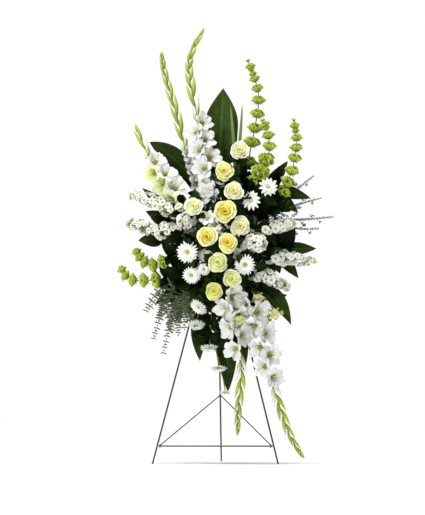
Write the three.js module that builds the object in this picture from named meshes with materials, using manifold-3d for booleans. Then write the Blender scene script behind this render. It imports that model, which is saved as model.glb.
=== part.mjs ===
// A standing funeral spray: white, cream and green flowers in a block of floral foam, held in a
// plastic cage that is tied to a folding wire easel. Millimetres, +Z up, the front faces -Y.
// Flowers are placed by where they show from the front: x to the right of the easel's middle,
// z above the floor, and "out" forward of the middle of the foam.
import * as THREE from "three";
import { mergeVertices } from "three/addons/utils/BufferGeometryUtils.js";
import Module from "manifold-3d";

const wasm = await Module();
wasm.setup();

// Easel
const LEAN = THREE.MathUtils.degToRad(10); // of the front legs' plane
const FOOT_HALF = 222; // half the distance between the front feet
const LEGS_MEET = 887; // height where the front legs' lines would meet
const HINGE_HEIGHT = 845;
const LEG_TOP = 858;
const BACK_FOOT = 400; // distance of the back foot behind the front feet
const LEG_WIRE = 3; // radius
const BAR_WIRE = 2.5;
const BRACE_WIRE = 2;
const BAR_HEIGHT = 63;
const BRACE_HEIGHT = 243; // height at which the brace passes behind the back leg
const WIRE_SIDES = 10;
const RUN = 0.6; // clearance of a wire eye on its bar
const SEAT = 0.3; // clearance of parts that rest on each other

// Cage and foam, in the holder's own frame: x right, y back from the easel's wires, z up the lean
const HOLDER_HEIGHT = 790;
const FOAM = new THREE.Vector3(102, 76, 229);
const STAND_OFF = 12; // from the middle of the wires to the cage's back plate
const PLATE = 2.5;
const TIE_GAP = 4; // between the back plate and the foam, where the ties pass
const RIM = 18; // height of the tray's rim
const BAND_HEIGHTS = [-38, 38]; // the two straps over the front of the foam
const BAND = 6; // width of a strap
const TIE_HEIGHTS = [-70, -20];
const RIB_HEIGHTS = [-70, -20, 36]; // pads on the back plate that rest on the wires
const RIB_MARGIN = 3; // of a pad above and below its tie
const RIB_INSET = 3.5; // of a pad's ends inside the tie's sides
const LEDGE = { height: 95, tall: 4 }; // the ledges on the back plate that the foam stands against
const TIE = new THREE.Vector3(1.5, 1.5, 4.5); // thickness twice and width of a cable tie
const TIE_CLEAR = 2.5; // from the side of a wire to the middle of the tie's side
const TIE_SLOT = new THREE.Vector3(4, 0, 6.5); // width and height of the slot that a tie passes
const OVERLAP = 1; // by which joined parts run into each other

// Stems
const SUNK = 32; // how far a stem goes into the foam
const HOLE_PLAY = 0.5;
const HOLE_SPARE = 2; // of a hole beyond the stem's end
const HOLE_MOUTH = 6; // of a hole's drill beyond the foam's face
const CLEAR_OF_FOAM = 12; // how far out a stem runs straight
const FAN_DEPTH = 16; // the stems fan out from this far behind the foam's middle
const FAN_SHARE = 0.3; // and from this share of the target's height along the foam,
const FAN_REACH = 62; // at most so far from its middle
const STRAP_CLEAR = 4; // from a strap's edge to a stem's middle
const RIM_CLEAR = 8; // from the tray's rim to a stem's middle
const SQUARE_TO_FACE = 0.45; // how much a stem turns to stand square to the foam's face
const BOW = 0.35; // how far before its end a stem bends, as a share of its reach
const STEM_SIDES = 4;

// The middle of the bounding box, which becomes the frame's origin
const BOX_MIDDLE = new THREE.Vector2(35.5, 136.4);

const COLOURS = {
  wire: 0x20302c,
  cage: 0x2c4a34,
  tie: 0x1c2a22,
  foam: 0x3f6b45,
  yellow: 0xf3e67e,
  cream: 0xf0ecc0,
  white: 0xf4f3ee,
  lime: 0x9fbf48,
  leaf: 0x27501f,
  salal: 0x2f5a2c,
  grey: 0x6f8478,
  blade: 0x6e9a4c,
};

const v3 = (x, y, z) => new THREE.Vector3(x, y, z);
const mix = (a, b, t) => a.clone().lerp(b, t);
const { lerp, clamp } = THREE.MathUtils;

// A point moved along directions, each given with how far.
function shifted(point, ...moves) {
  return moves.reduce((p, [way, far]) => p.addScaledVector(way, far), point.clone());
}

// Equal angles round a circle.
const turnsOf = (count) => Array.from({ length: count }, (_, i) => (i / count) * Math.PI * 2);

// The point at an angle on a circle that lies along two directions.
const onCircle = (middle, across, up, angle, radius) =>
  shifted(middle, [across, Math.cos(angle) * radius], [up, Math.sin(angle) * radius]);

// A repeatable source of numbers from 0 to 1.
function draws(seed) {
  let state = seed * 7919 + 17;
  return () => {
    state = (state * 16807) % 2147483647;
    return state / 2147483647;
  };
}

// Solids from three.js geometry and from plain lists of points and faces
function solidOf(geometry) {
  const bare = geometry.clone();
  bare.deleteAttribute("normal");
  bare.deleteAttribute("uv");
  const merged = mergeVertices(bare, 1e-4);
  return new wasm.Manifold(
    new wasm.Mesh({
      numProp: 3,
      vertProperties: new Float32Array(merged.attributes.position.array),
      triVerts: new Uint32Array(merged.index.array),
    }),
  );
}

function solidFromFaces(points, faces) {
  return new wasm.Manifold(
    new wasm.Mesh({
      numProp: 3,
      vertProperties: new Float32Array(points.flatMap((p) => [p.x, p.y, p.z])),
      triVerts: new Uint32Array(faces.flat()),
    }),
  );
}

function geometryOf(solid) {
  const mesh = solid.getMesh();
  const positions = new Float32Array(mesh.numVert * 3);
  for (let i = 0; i < mesh.numVert; i++)
    positions.set(mesh.vertProperties.subarray(i * mesh.numProp, i * mesh.numProp + 3), i * 3);
  return new THREE.BufferGeometry()
    .setAttribute("position", new THREE.BufferAttribute(positions, 3))
    .setIndex(new THREE.BufferAttribute(new Uint32Array(mesh.triVerts), 1));
}

// The joined parts as one body: sealed hollows are filled and loose scraps are dropped.
function fuse(parts) {
  const joined = wasm.Manifold.union(parts);
  return joined.decompose().reduce((a, b) => (a.volume() > b.volume() ? a : b));
}

// A closed skin over rings of points. A ring of one point is a pointed end. Diagonals run from
// edge points to middle points on both faces of a flat section, so thin blades never cross.
function loft(rings) {
  const points = rings.flat();
  const starts = rings.map((_, i) => rings.slice(0, i).flat().length);
  const count = Math.max(...rings.map((r) => r.length));
  const faces = [];
  for (let i = 0; i + 1 < rings.length; i++) {
    const a = starts[i];
    const b = starts[i + 1];
    const aPoint = rings[i].length === 1;
    const bPoint = rings[i + 1].length === 1;
    for (let j = 0; j < count; j++) {
      const k = (j + 1) % count;
      if (aPoint) faces.push([a, b + k, b + j]);
      else if (bPoint) faces.push([a + j, a + k, b]);
      else if (j % 2) faces.push([a + j, a + k, b + j], [a + k, b + k, b + j]);
      else faces.push([a + j, a + k, b + k], [a + j, b + k, b + j]);
    }
  }
  const last = starts[rings.length - 1];
  for (let j = 1; j + 1 < count; j++) {
    if (rings[0].length > 1) faces.push([0, j + 1, j]);
    if (rings.at(-1).length > 1) faces.push([last, last + j, last + j + 1]);
  }
  const made = solidFromFaces(points, faces);
  return made.volume() < 0 ? solidFromFaces(points, faces.map((f) => [f[0], f[2], f[1]])) : made;
}

// A round stem or wire along a path, with a radius for each point.
function rod(path, radii, sides) {
  let across = v3(1, 0, 0);
  const rings = path.map((p, i) => {
    const along = path[Math.min(i + 1, path.length - 1)].clone().sub(path[Math.max(i - 1, 0)]).normalize();
    if (i === 0 && Math.abs(along.dot(across)) > 0.9) across = v3(0, 1, 0);
    across = across.clone().addScaledVector(along, -across.dot(along)).normalize();
    const up = along.clone().cross(across);
    const radius = Array.isArray(radii) ? radii[i] : radii;
    return turnsOf(sides).map((turn) => onCircle(p, across, up, turn, radius));
  });
  return loft(rings);
}

// The matrix that carries a bloom drawn at the origin, facing +Z, to its place and facing.
function facing(place, direction, roll = 0) {
  const turn = new THREE.Quaternion().setFromUnitVectors(v3(0, 0, 1), direction.clone().normalize());
  turn.multiply(new THREE.Quaternion().setFromAxisAngle(v3(0, 0, 1), roll));
  return new THREE.Matrix4().compose(place, turn, v3(1, 1, 1));
}
const moved = (solid, matrix) => solid.transform(matrix.elements);

// Petals and leaves
// A pointed blade along a curve: rows give the share of the length, the half width, the middle's
// thickness and, where the sides differ, the right half's width. The section is a flattened
// diamond, folded along the midrib.
function blade(curve, faceSide, rows, fold = 0.15) {
  const rings = rows.map(([share, half, thick, right = half]) => {
    const p = curve.getPoint(share);
    if (!half) return [p];
    const along = curve.getTangent(share);
    const across = faceSide.clone().cross(along).normalize();
    const normal = along.clone().cross(across);
    return [
      shifted(p, [normal, half * fold], [across, -half]),
      shifted(p, [normal, thick / 2]),
      shifted(p, [normal, right * fold], [across, right]),
      shifted(p, [normal, -thick / 2]),
    ];
  });
  return loft(rings);
}

// A ring of points with petal tips and the notches between them, each given as [radius, height].
function lobedRing(count, tip, notch, odd, turn) {
  return turnsOf(count).map((angle, j) => {
    const [radius, height] = j % 2 === odd ? tip : notch;
    return v3(Math.cos(angle + turn) * radius, Math.sin(angle + turn) * radius, height);
  });
}

// A bloom drawn as one skin: from its back, over the rims and valleys of its petals, to its heart.
function bloom(radius, count, back, rings, heart, turn, twist = 0) {
  const scaled = ([r, h]) => [r * radius, h * radius];
  const skin = rings.map(([odd, tip, notch = tip], i) =>
    lobedRing(count, scaled(tip), scaled(notch), odd, turn + i * twist),
  );
  return loft([[v3(0, 0, back * radius)], ...skin, [v3(0, 0, heart * radius)]]);
}

const ROSE_RINGS = [
  [0, [0.64, -0.56], [0.58, -0.52]],
  [0, [1, 0], [0.86, 0.06]],
  [0, [0.72, -0.14]],
  [1, [0.8, 0.24], [0.64, 0.24]],
  [1, [0.5, 0.06]],
  [0, [0.54, 0.42], [0.42, 0.38]],
  [0, [0.24, 0.2]],
];
const rose = (radius, turn) => bloom(radius, 10, -0.78, ROSE_RINGS, 0.46, turn, 0.08);

const DAISY_RINGS = [
  [0, [1, 0.06], [0.76, 0]],
  [1, [0.76, 0.26], [0.5, 0.16]],
  [0, [0.22, 0.1], [0.22, 0.1]],
];
const daisy = (radius, rays, turn) => bloom(radius, rays * 2, -0.16, DAISY_RINGS, 0.22, turn);

const SPRAY_RINGS = [
  [0, [1, 0.1], [0.72, 0.12]],
  [1, [0.4, 0.06]],
  [1, [0.56, 0.44], [0.44, 0.4]],
];
const sprayRose = (radius, turn) => bloom(radius, 10, -1, SPRAY_RINGS, 0.2, turn);

const FLORET_RINGS = [[0, [1, 0.16], [0.74, 0]]];
const gladFloret = (radius, turn) => bloom(radius, 10, -0.95, FLORET_RINGS, -0.42, turn);

// The easel's and the holder's frames
const planeY = (height) => height * Math.tan(LEAN);
const legHalf = (height) => FOOT_HALF * (1 - height / LEGS_MEET);
const holderMatrix = new THREE.Matrix4().compose(
  v3(0, planeY(HOLDER_HEIGHT), HOLDER_HEIGHT),
  new THREE.Quaternion().setFromEuler(new THREE.Euler(-LEAN, 0, 0)),
  v3(1, 1, 1),
);
const foamBack = -(STAND_OFF + PLATE + TIE_GAP);
const foamMiddle = v3(0, foamBack - FOAM.y / 2, 0);
const foamCentre = foamMiddle.clone().applyMatrix4(holderMatrix);
const place = (x, z, out) => v3(x, foamCentre.y - out, z);

// Nodes and the parts that each is fused from
const nodes = [];
const holes = [];

function addNode(name, colour, roughness = 0.6, metalness = 0) {
  const node = { name, colour, roughness, metalness, parts: [] };
  nodes.push(node);
  return node;
}

function bounds(solid) {
  const { min, max } = solid.boundingBox();
  return new THREE.Box3(v3(...min), v3(...max));
}

function put(node, solid, grown = false) {
  node.parts.push({ solid, box: bounds(solid), grown });
}

// What a solid has in common with the parts of all other nodes.
function hits(solid, owner) {
  const box = bounds(solid);
  return nodes
    .filter((node) => node !== owner)
    .flatMap((node) => node.parts)
    .filter((part) => part.box.intersectsBox(box))
    .map((part) => part.solid.intersect(solid))
    .filter((common) => common.volume() > 1e-6);
}

// A small repeat that would run into another node, or far into its own neighbours, grows smaller,
// and is left out if that fails.
const SMALLER = [1, 0.86, 0.72, 0.6];
const MARGIN = 1.04;
const NEIGHBOUR_SHARE = 0.04;
function grow(node, make, share = NEIGHBOUR_SHARE) {
  for (const size of SMALLER) {
    const part = make(size);
    const room = part.volume() * share;
    if (hits(make(size * MARGIN), node).length) continue;
    if (node.parts.some((other) => other.grown && other.solid.intersect(part).volume() > room)) continue;
    put(node, part, true);
    return;
  }
}

// A spike drawn as one skin shrinks at the stations where it would run into another node.
function putFitted(node, build, stations) {
  const sizes = stations.map(() => 1);
  for (let round = 0; round < 14; round++) {
    const common = hits(build(sizes.map((size) => size * MARGIN)), node);
    if (!common.length) break;
    for (const { x, y, z } of common.map((solid) => bounds(solid).getCenter(v3()))) {
      const order = stations.map((p, i) => [p.distanceTo(v3(x, y, z)), i]).sort((a, b) => a[0] - b[0]);
      order.slice(0, 2).forEach(([, i]) => (sizes[i] *= 0.8));
    }
  }
  put(node, build(sizes));
}

// A stem leaves the foam by the face that it points at, clear of the straps and the rim. It runs
// straight inside its hole and then bends to arrive at the target along the direction.
function stemPath(target, direction, { shift = [0, 0], bow = 0.4 } = {}) {
  const inHolder = target.clone().applyMatrix4(holderMatrix.clone().invert());
  const half = FOAM.clone().multiplyScalar(0.5);
  const focus = v3(0, foamMiddle.y + FAN_DEPTH, clamp(inHolder.z * FAN_SHARE, -FAN_REACH, FAN_REACH));
  const ray = inHolder.clone().sub(focus);
  const reach = Math.min(
    half.x / Math.max(Math.abs(ray.x), 1e-3),
    (half.y + FAN_DEPTH) / Math.max(-ray.y, 1e-3),
    (half.z - Math.sign(ray.z) * focus.z) / Math.max(Math.abs(ray.z), 1e-3),
    1,
  );
  const exit = focus.clone().addScaledVector(ray, reach).add(v3(shift[0], 0, shift[1]));
  const onFront = exit.y < foamMiddle.y - half.y + 1;
  const onEnd = Math.abs(exit.z) > half.z - 1;
  if (!onFront) exit.y = Math.min(exit.y, foamBack - RIM - RIM_CLEAR);
  if (!onEnd)
    for (const band of BAND_HEIGHTS) {
      const off = exit.z - band;
      const clear = BAND + STRAP_CLEAR;
      if (Math.abs(off) < clear) exit.z = band + (off < 0 ? -clear : clear);
    }
  const normal = onFront ? v3(0, -1, 0) : onEnd ? v3(0, 0, Math.sign(exit.z)) : v3(Math.sign(exit.x), 0, 0);
  const into = ray.clone().normalize().lerp(normal, SQUARE_TO_FACE).normalize();
  const inner = shifted(exit, [into, -SUNK]).applyMatrix4(holderMatrix);
  const outer = shifted(exit, [into, CLEAR_OF_FOAM]).applyMatrix4(holderMatrix);
  const control = shifted(target, [direction.clone().normalize(), -target.distanceTo(outer) * bow]);
  const curve = new THREE.QuadraticBezierCurve3(outer, control, target);
  return { inner, outer, curve };
}

function drillHole({ inner, outer }, radius) {
  const along = outer.clone().sub(inner).normalize();
  const ends = [shifted(inner, [along, -HOLE_SPARE]), shifted(outer, [along, HOLE_MOUTH])];
  holes.push(rod(ends, radius, STEM_SIDES));
}

// A round stem from its hole to the target, and on through further points.
function stem(target, direction, radius, { shift, bow, steps = 3, beyond = [], end = radius } = {}) {
  const path = stemPath(target, direction, { shift, bow });
  drillHole(path, radius + HOLE_PLAY);
  const points = [path.inner, ...path.curve.getPoints(steps), ...beyond];
  const radii = points.map((_, i) => lerp(radius, end, i / (points.length - 1)));
  return { solid: rod(points, radii, STEM_SIDES), curve: path.curve };
}

// A stalk and its blade as one skin: the way from the hole to the blade's foot, then the blade.
function stalkedBlade(run, faceSide, stalk, rows, fold, { shift, bow = BOW } = {}) {
  const path = stemPath(run.getPoint(0), run.getTangent(0), { shift, bow });
  drillHole(path, (stalk + HOLE_PLAY) * Math.SQRT2);
  const whole = new THREE.CurvePath();
  whole.add(new THREE.LineCurve3(path.inner, path.outer));
  whole.add(path.curve);
  whole.add(run);
  const lengths = whole.curves.map((c) => c.getLength());
  const total = lengths[0] + lengths[1] + lengths[2];
  const foot = (lengths[0] + lengths[1]) / total;
  const stalkShares = [0, lengths[0] / total, (lengths[0] + lengths[1] / 2) / total];
  const stalkRows = stalkShares.map((share) => [share, stalk, stalk * 2]);
  const bladeRows = (sizes) => rows(sizes).map(([share, ...rest]) => [foot + share * (1 - foot), ...rest]);
  return (sizes) => blade(whole, faceSide, [...stalkRows, ...bladeRows(sizes)], fold);
}

// How a bloom faces: mostly outward from the foam's middle, and partly straight forward.
const FORWARD = v3(0, -1, 0);
const BLOOM_FAN = { back: 30, half: 80 }; // an upright line behind the foam's middle, up and down from it
function outward(target, forward) {
  const height = clamp(target.z, foamCentre.z - BLOOM_FAN.half, foamCentre.z + BLOOM_FAN.half);
  const focus = v3(0, foamCentre.y + BLOOM_FAN.back, height);
  return target.clone().sub(focus).normalize().lerp(FORWARD, forward).normalize();
}

// Roses, each with leaves on its stem
const ROSES = [
  { name: "rose_top", at: [90, 1109, 118], radius: 36, colour: "cream", forward: 0.75 },
  { name: "rose_upper_yellow", at: [37, 1032, 150], radius: 37, colour: "yellow", forward: 0.8 },
  { name: "rose_upper_cream", at: [70, 959, 168], radius: 36, colour: "cream", forward: 0.8 },
  { name: "rose_heart", at: [39, 885, 186], radius: 44, colour: "yellow", forward: 0.85 },
  { name: "rose_right_cream", at: [94, 834, 164], radius: 37, colour: "cream", forward: 0.8 },
  { name: "rose_left_gold", at: [-23, 793, 190], radius: 39, colour: "yellow", forward: 0.85 },
  { name: "rose_mid_gold", at: [51, 773, 196], radius: 39, colour: "yellow", forward: 0.85 },
  { name: "rose_left_cream", at: [-71, 904, 158], radius: 37, colour: "cream", forward: 0.75 },
  { name: "rose_lower_cream", at: [16, 706, 182], radius: 38, colour: "cream", forward: 0.8 },
  { name: "rose_low_right", at: [64, 647, 168], radius: 35, colour: "cream", forward: 0.8 },
  { name: "rose_low_left", at: [1, 606, 160], radius: 35, colour: "yellow", forward: 0.75 },
];
const ROSE_STEM = 2.8;
const ROSE_SEAT = 0.72; // depth of a stem's end in the bloom, as a share of its radius
const ROSE_LEAVES = { shares: [0.3, 0.52, 0.72], turn: 2.4, length: 66, half: 19, lean: 26, arch: 9 };

function roseNode({ name, at, radius, colour, forward, shift }, index) {
  const target = place(...at);
  const direction = outward(target, forward);
  const seat = shifted(target, [direction, -radius * ROSE_SEAT]);
  const stalk = stem(seat, direction, ROSE_STEM, { shift, steps: 2 });
  const node = addNode(name, colour, 0.55);
  put(node, stalk.solid);
  put(node, moved(rose(radius, index * 0.9), facing(target, direction)));
  return { node, curve: stalk.curve, index };
}

function roseLeaves({ node, curve, index }) {
  const { shares, turn, length, half, lean, arch } = ROSE_LEAVES;
  shares.forEach((share, i) => {
    const at = curve.getPoint(share);
    const along = curve.getTangent(share);
    const aside = along.clone().cross(v3(0, 0, 1)).normalize();
    const direction = onCircle(v3(0, 0, 0), aside, along.clone().cross(aside), index * 1.3 + i * turn, 1);
    grow(node, (size) => {
      const tip = shifted(at, [direction, length * size], [along, lean]);
      const middle = mix(at, tip, 0.5).addScaledVector(along, arch);
      return leafBlade([at, middle, tip], half * size, along, SMALL_LEAF_ROWS);
    });
  });
}

// Daisy chrysanthemums: one branched stem to a spray, with its blooms
const DAISIES = [
  {
    name: "daisies_upper_right",
    blooms: [
      { at: [190, 978, 112], radius: 37 },
      { at: [128, 928, 128], radius: 37 },
    ],
  },
  {
    name: "daisies_left",
    blooms: [
      { at: [-94, 745, 146], radius: 42 },
      { at: [-80, 665, 138], radius: 36, tip: [0, -1, -0.5] },
    ],
  },
  { name: "daisy_right", blooms: [{ at: [109, 699, 150], radius: 40 }] },
  {
    name: "daisies_low_left",
    blooms: [
      { at: [-56, 554, 120], radius: 36, tip: [-0.1, -1, -0.7] },
      { at: [-65, 492, 102], radius: 33, tip: [0, -0.75, -1] },
    ],
  },
  {
    name: "daisies_hanging",
    blooms: [
      { at: [-19, 411, 108], radius: 36, tip: [0, -0.35, -1] },
      { at: [13, 339, 112], radius: 32, tip: [0, -0.3, -1] },
      { at: [36, 253, 108], radius: 22, tip: [0, -0.4, -1] },
    ],
  },
];
const DAISY_STEM = 2.2;
const DAISY_SEAT = 4;
const TWIG = 0.85; // a side stem's share of its stem's radius
const TWIG_BEND = 30; // how far behind a bloom its side stem bends
const LARGE_DAISY = { radius: 30, rays: 11 };
const SMALL_DAISY = { rays: 8 };

function daisyNode({ name, blooms, shift }, index) {
  const targets = blooms.map(({ at }) => place(...at));
  const directions = blooms.map(({ tip }, i) => (tip ? v3(...tip).normalize() : outward(targets[i], 0.7)));
  const seats = targets.map((target, i) => shifted(target, [directions[i], -DAISY_SEAT]));
  const main = stem(seats[0], directions[0], DAISY_STEM, { shift, bow: blooms.length > 1 ? 0.25 : 0.4 });
  const node = addNode(name, "white");
  put(node, main.solid);
  const fork = main.curve.getPoint(blooms.length > 2 ? 0.62 : 0.45);
  seats.slice(1).forEach((seat, i) => {
    const side = new THREE.QuadraticBezierCurve3(fork, shifted(seat, [directions[i + 1], -TWIG_BEND]), seat);
    put(node, rod(side.getPoints(3), DAISY_STEM * TWIG, STEM_SIDES));
  });
  targets.forEach((target, i) => {
    const { rays } = blooms[i].radius > LARGE_DAISY.radius ? LARGE_DAISY : SMALL_DAISY;
    put(node, moved(daisy(blooms[i].radius, rays, index + i), facing(target, directions[i])));
  });
}

// Gladioli: the spine's points, the share of it that the open florets take, and their number
const GLADIOLI = [
  {
    name: "gladiolus_top",
    spine: [
      [-4, 953, 62], [-39, 1096, 76], [-63, 1228, 80],
      [-91, 1373, 76], [-91, 1459, 70], [-41, 1561, 64],
    ],
    open: 0.46,
    florets: 7,
    radius: 48,
  },
  {
    name: "gladiolus_top_left",
    spine: [
      [-75, 981, 34], [-100, 1077, 30], [-124, 1182, 26],
      [-159, 1310, 24], [-191, 1420, 22], [-197, 1484, 20],
    ],
    open: 0.4,
    florets: 5,
    radius: 41,
  },
  {
    name: "gladiolus_left",
    spine: [[-129, 933, 62], [-177, 1004, 58], [-224, 1067, 52], [-259, 1138, 46], [-291, 1217, 40]],
    open: 0.55,
    florets: 6,
    radius: 44,
  },
  {
    name: "gladiolus_low",
    spine: [[48, 602, 104], [66, 523, 112], [83, 435, 108], [93, 318, 100], [82, 194, 94], [78, 100, 90]],
    open: 0.5,
    florets: 6,
    radius: 47,
  },
  {
    name: "gladiolus_low_right",
    shift: [-11, 0],
    spine: [
      [114, 591, 84], [146, 494, 98], [179, 396, 104], [198, 299, 104],
      [231, 194, 98], [267, 93, 92], [315, 20, 88],
    ],
    open: 0.52,
    florets: 7,
    radius: 50,
  },
];
const GLAD_STEM = 3.6;
const GLAD_STEM_TOP = 2.6;
const GLAD_BUDS = 8;
const BUD_WIDE = [22, 9]; // reach of the lowest and the highest bud
const BUD_THICK = [12, 6];
const FLORET_SHARE = 0.3; // of a floret that its neighbours may take
const SPINE_STEPS = 10;

function gladiolusNode({ name, spine, open, florets, radius, shift }, index) {
  const points = spine.map((p) => place(...p));
  const run = new THREE.CatmullRomCurve3(points);
  const greenFrom = Math.round(SPINE_STEPS * (open + 0.06));
  const beyond = run.getPoints(SPINE_STEPS).slice(1, greenFrom + 1);
  const node = addNode(name, "white");
  const way = { shift, bow: BOW, steps: 2, beyond, end: GLAD_STEM_TOP };
  put(node, stem(points[0], run.getTangent(0), GLAD_STEM, way).solid);
  return { node, run, open, florets, radius, index, budsFrom: greenFrom / SPINE_STEPS - 0.04 };
}

// The green tip: buds in two rows, one skin with teeth on alternate sides.
function gladiolusBuds({ node, run, budsFrom }) {
  const at = (i) => lerp(budsFrom, 1, i / GLAD_BUDS);
  const rows = (sizes) => [
    [budsFrom, 2.4, 4],
    ...sizes.flatMap((size, i) => {
      const wide = lerp(...BUD_WIDE, i / GLAD_BUDS) * size;
      const thick = lerp(...BUD_THICK, i / GLAD_BUDS) * size;
      return [
        [at(i + 0.35), 2, thick * 0.7, 2],
        [at(i + 0.8), i % 2 ? wide : 3, thick, i % 2 ? 3 : wide],
      ];
    }),
    [1, 0, 0],
  ];
  const stations = Array.from({ length: GLAD_BUDS }, (_, i) => run.getPoint(at(i + 0.8)));
  putFitted(node, (sizes) => blade(run, FORWARD, rows(sizes), 0), stations);
}

function gladiolusFlorets({ node, run, open, florets, radius, index }) {
  const draw = draws(index + 1);
  for (let i = 0; i < florets; i++) {
    const share = 0.03 + (open * i) / florets;
    const at = run.getPoint(share);
    const along = run.getTangent(share);
    const aside = along.clone().cross(FORWARD).normalize().multiplyScalar(i % 2 ? 0.75 : -0.75);
    const direction = FORWARD.clone().add(aside).addScaledVector(along, 0.35).normalize();
    const turn = draw() * 3;
    grow(
      node,
      (size) => {
        const r = radius * size * (1 - 0.25 * (i / florets));
        return moved(gladFloret(r, turn), facing(shifted(at, [direction, r * 0.92]), direction));
      },
      FLORET_SHARE,
    );
  }
}

// Small cream spray roses on one branched stem
const SPRAY = {
  name: "spray_roses",
  shift: [0, 16],
  at: [[154, 583, 96], [212, 529, 92], [91, 506, 144]],
  radius: 22,
  seat: 14,
  stem: 2.2,
};

function sprayNode() {
  const targets = SPRAY.at.map((p) => place(...p));
  const direction = v3(0.25, -0.75, -0.6).normalize();
  const seats = targets.map((target) => shifted(target, [direction, -SPRAY.seat]));
  const main = stem(seats[0], direction, SPRAY.stem, { shift: SPRAY.shift, bow: 0.3 });
  const node = addNode(SPRAY.name, "cream", 0.55);
  put(node, main.solid);
  const fork = main.curve.getPoint(0.55);
  for (const seat of seats.slice(1)) {
    const side = new THREE.QuadraticBezierCurve3(fork, shifted(seat, [direction, -TWIG_BEND]), seat);
    put(node, rod(side.getPoints(3), SPRAY.stem * TWIG, STEM_SIDES));
  }
  for (const target of targets) put(node, moved(sprayRose(SPRAY.radius, 0.4), facing(target, direction)));
}

// Rings of points round a path, for the spikes that are drawn as one skin: at a share of the way,
// petal tips and notches lie at their own distances from the path.
function ringAlong(curve, share, tip, notch, odd, turn, count) {
  const along = curve.getTangent(share);
  const across = along.clone().cross(v3(0.2, -1, 0.1)).normalize();
  const up = along.clone().cross(across).normalize();
  const middle = curve.getPoint(share);
  const reach = (j) => (j % 2 === odd ? tip : notch);
  return turnsOf(count).map((angle, j) => onCircle(middle, across, up, angle + turn, reach(j)));
}

// Bells of Ireland: whorls of green cups along a stem
const BELLS = [
  {
    name: "bells_top",
    shift: [-2, 0],
    spine: [
      [109, 1034, 40], [126, 1130, 42], [140, 1199, 42], [152, 1270, 42],
      [152, 1330, 40], [139, 1380, 38], [116, 1444, 36],
    ],
    whorls: 8,
    radius: 31,
  },
  {
    name: "bells_upper_right",
    spine: [[137, 977, 62], [163, 1034, 82], [190, 1098, 86], [191, 1160, 82], [170, 1221, 78]],
    whorls: 6,
    radius: 33,
  },
  {
    name: "bells_right",
    spine: [[221, 943, 44], [258, 1001, 62], [282, 1080, 62], [290, 1145, 58], [281, 1224, 54]],
    whorls: 7,
    radius: 31,
  },
  {
    name: "bells_left_low",
    spine: [[-181, 658, 52], [-237, 652, 56], [-289, 652, 54], [-323, 670, 50], [-340, 700, 48]],
    whorls: 5,
    radius: 29,
  },
  {
    name: "bells_left",
    spine: [[-161, 732, 62], [-205, 710, 66], [-246, 714, 60], [-271, 735, 54], [-287, 760, 52]],
    whorls: 5,
    radius: 29,
  },
];
const BELL_STEM = 2.6;
const BELL_COUNT = 8;
const BELL_TAPER = [1.05, 0.6]; // the lowest and the highest whorl's share of the radius

function bellsNode({ name, spine, whorls, radius, shift }) {
  const run = new THREE.CatmullRomCurve3(spine.map((p) => place(...p)));
  const node = addNode(name, "lime");
  put(node, stem(run.getPoint(0), run.getTangent(0), BELL_STEM, { shift, bow: BOW }).solid);
  return { node, run, whorls, radius };
}

function bellWhorls({ node, run, whorls, radius }) {
  const pitch = 1 / whorls;
  const at = Array.from({ length: whorls }, (_, i) => (i + 0.4) * pitch);
  const ring = (share, tip, notch, odd, turn) => ringAlong(run, share, tip, notch, odd, turn, BELL_COUNT);
  const skin = (sizes) =>
    loft([
      ring(0, BELL_STEM - 0.4, BELL_STEM - 0.4, 0, 0),
      ...at.flatMap((share, i) => {
        const r = Math.max(radius * sizes[i] * lerp(...BELL_TAPER, i / (whorls - 1)), BELL_STEM + 1);
        const turn = i * 0.5;
        return [
          ring(share - 0.36 * pitch, BELL_STEM, BELL_STEM, 0, turn),
          ring(share + 0.2 * pitch, r, r * 0.66, i % 2, turn),
          ring(share - 0.04 * pitch, BELL_STEM + 0.6, BELL_STEM + 0.6, 0, turn),
        ];
      }),
      [run.getPoint(1)],
    ]);
  putFitted(node, skin, at.map((share) => run.getPoint(share)));
}

// White stock: spikes packed with florets in whorls
const STOCKS = [
  { name: "stock_left_upper", from: [-115, 889, 90], to: [-311, 963, 62], radius: 42 },
  { name: "stock_left_lower", from: [-128, 811, 96], to: [-322, 856, 70], radius: 42 },
  { name: "stock_left_inner", from: [-84, 857, 84], to: [-113, 855, 172], radius: 42 },
  { name: "stock_right_upper", from: [168, 830, 108], to: [286, 849, 84], radius: 34, shift: [0, 9] },
  { name: "stock_right_inner", from: [110, 781, 84], to: [172, 770, 164], radius: 46 },
  { name: "stock_right", from: [197, 733, 84], to: [360, 716, 60], radius: 38 },
  { name: "stock_right_low", from: [138, 681, 104], to: [263, 622, 86], radius: 36 },
];
const STOCK_STEM = 3;
const STOCK_WHORLS = 7;
const STOCK_COUNT = 8;

function stockNode({ name, from, to, radius, shift }, index) {
  const run = new THREE.LineCurve3(place(...from), place(...to));
  const node = addNode(name, "white", 0.65);
  put(node, stem(run.getPoint(0), run.getTangent(0), STOCK_STEM, { shift, bow: BOW, steps: 2 }).solid);
  return { node, run, radius, index };
}

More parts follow.
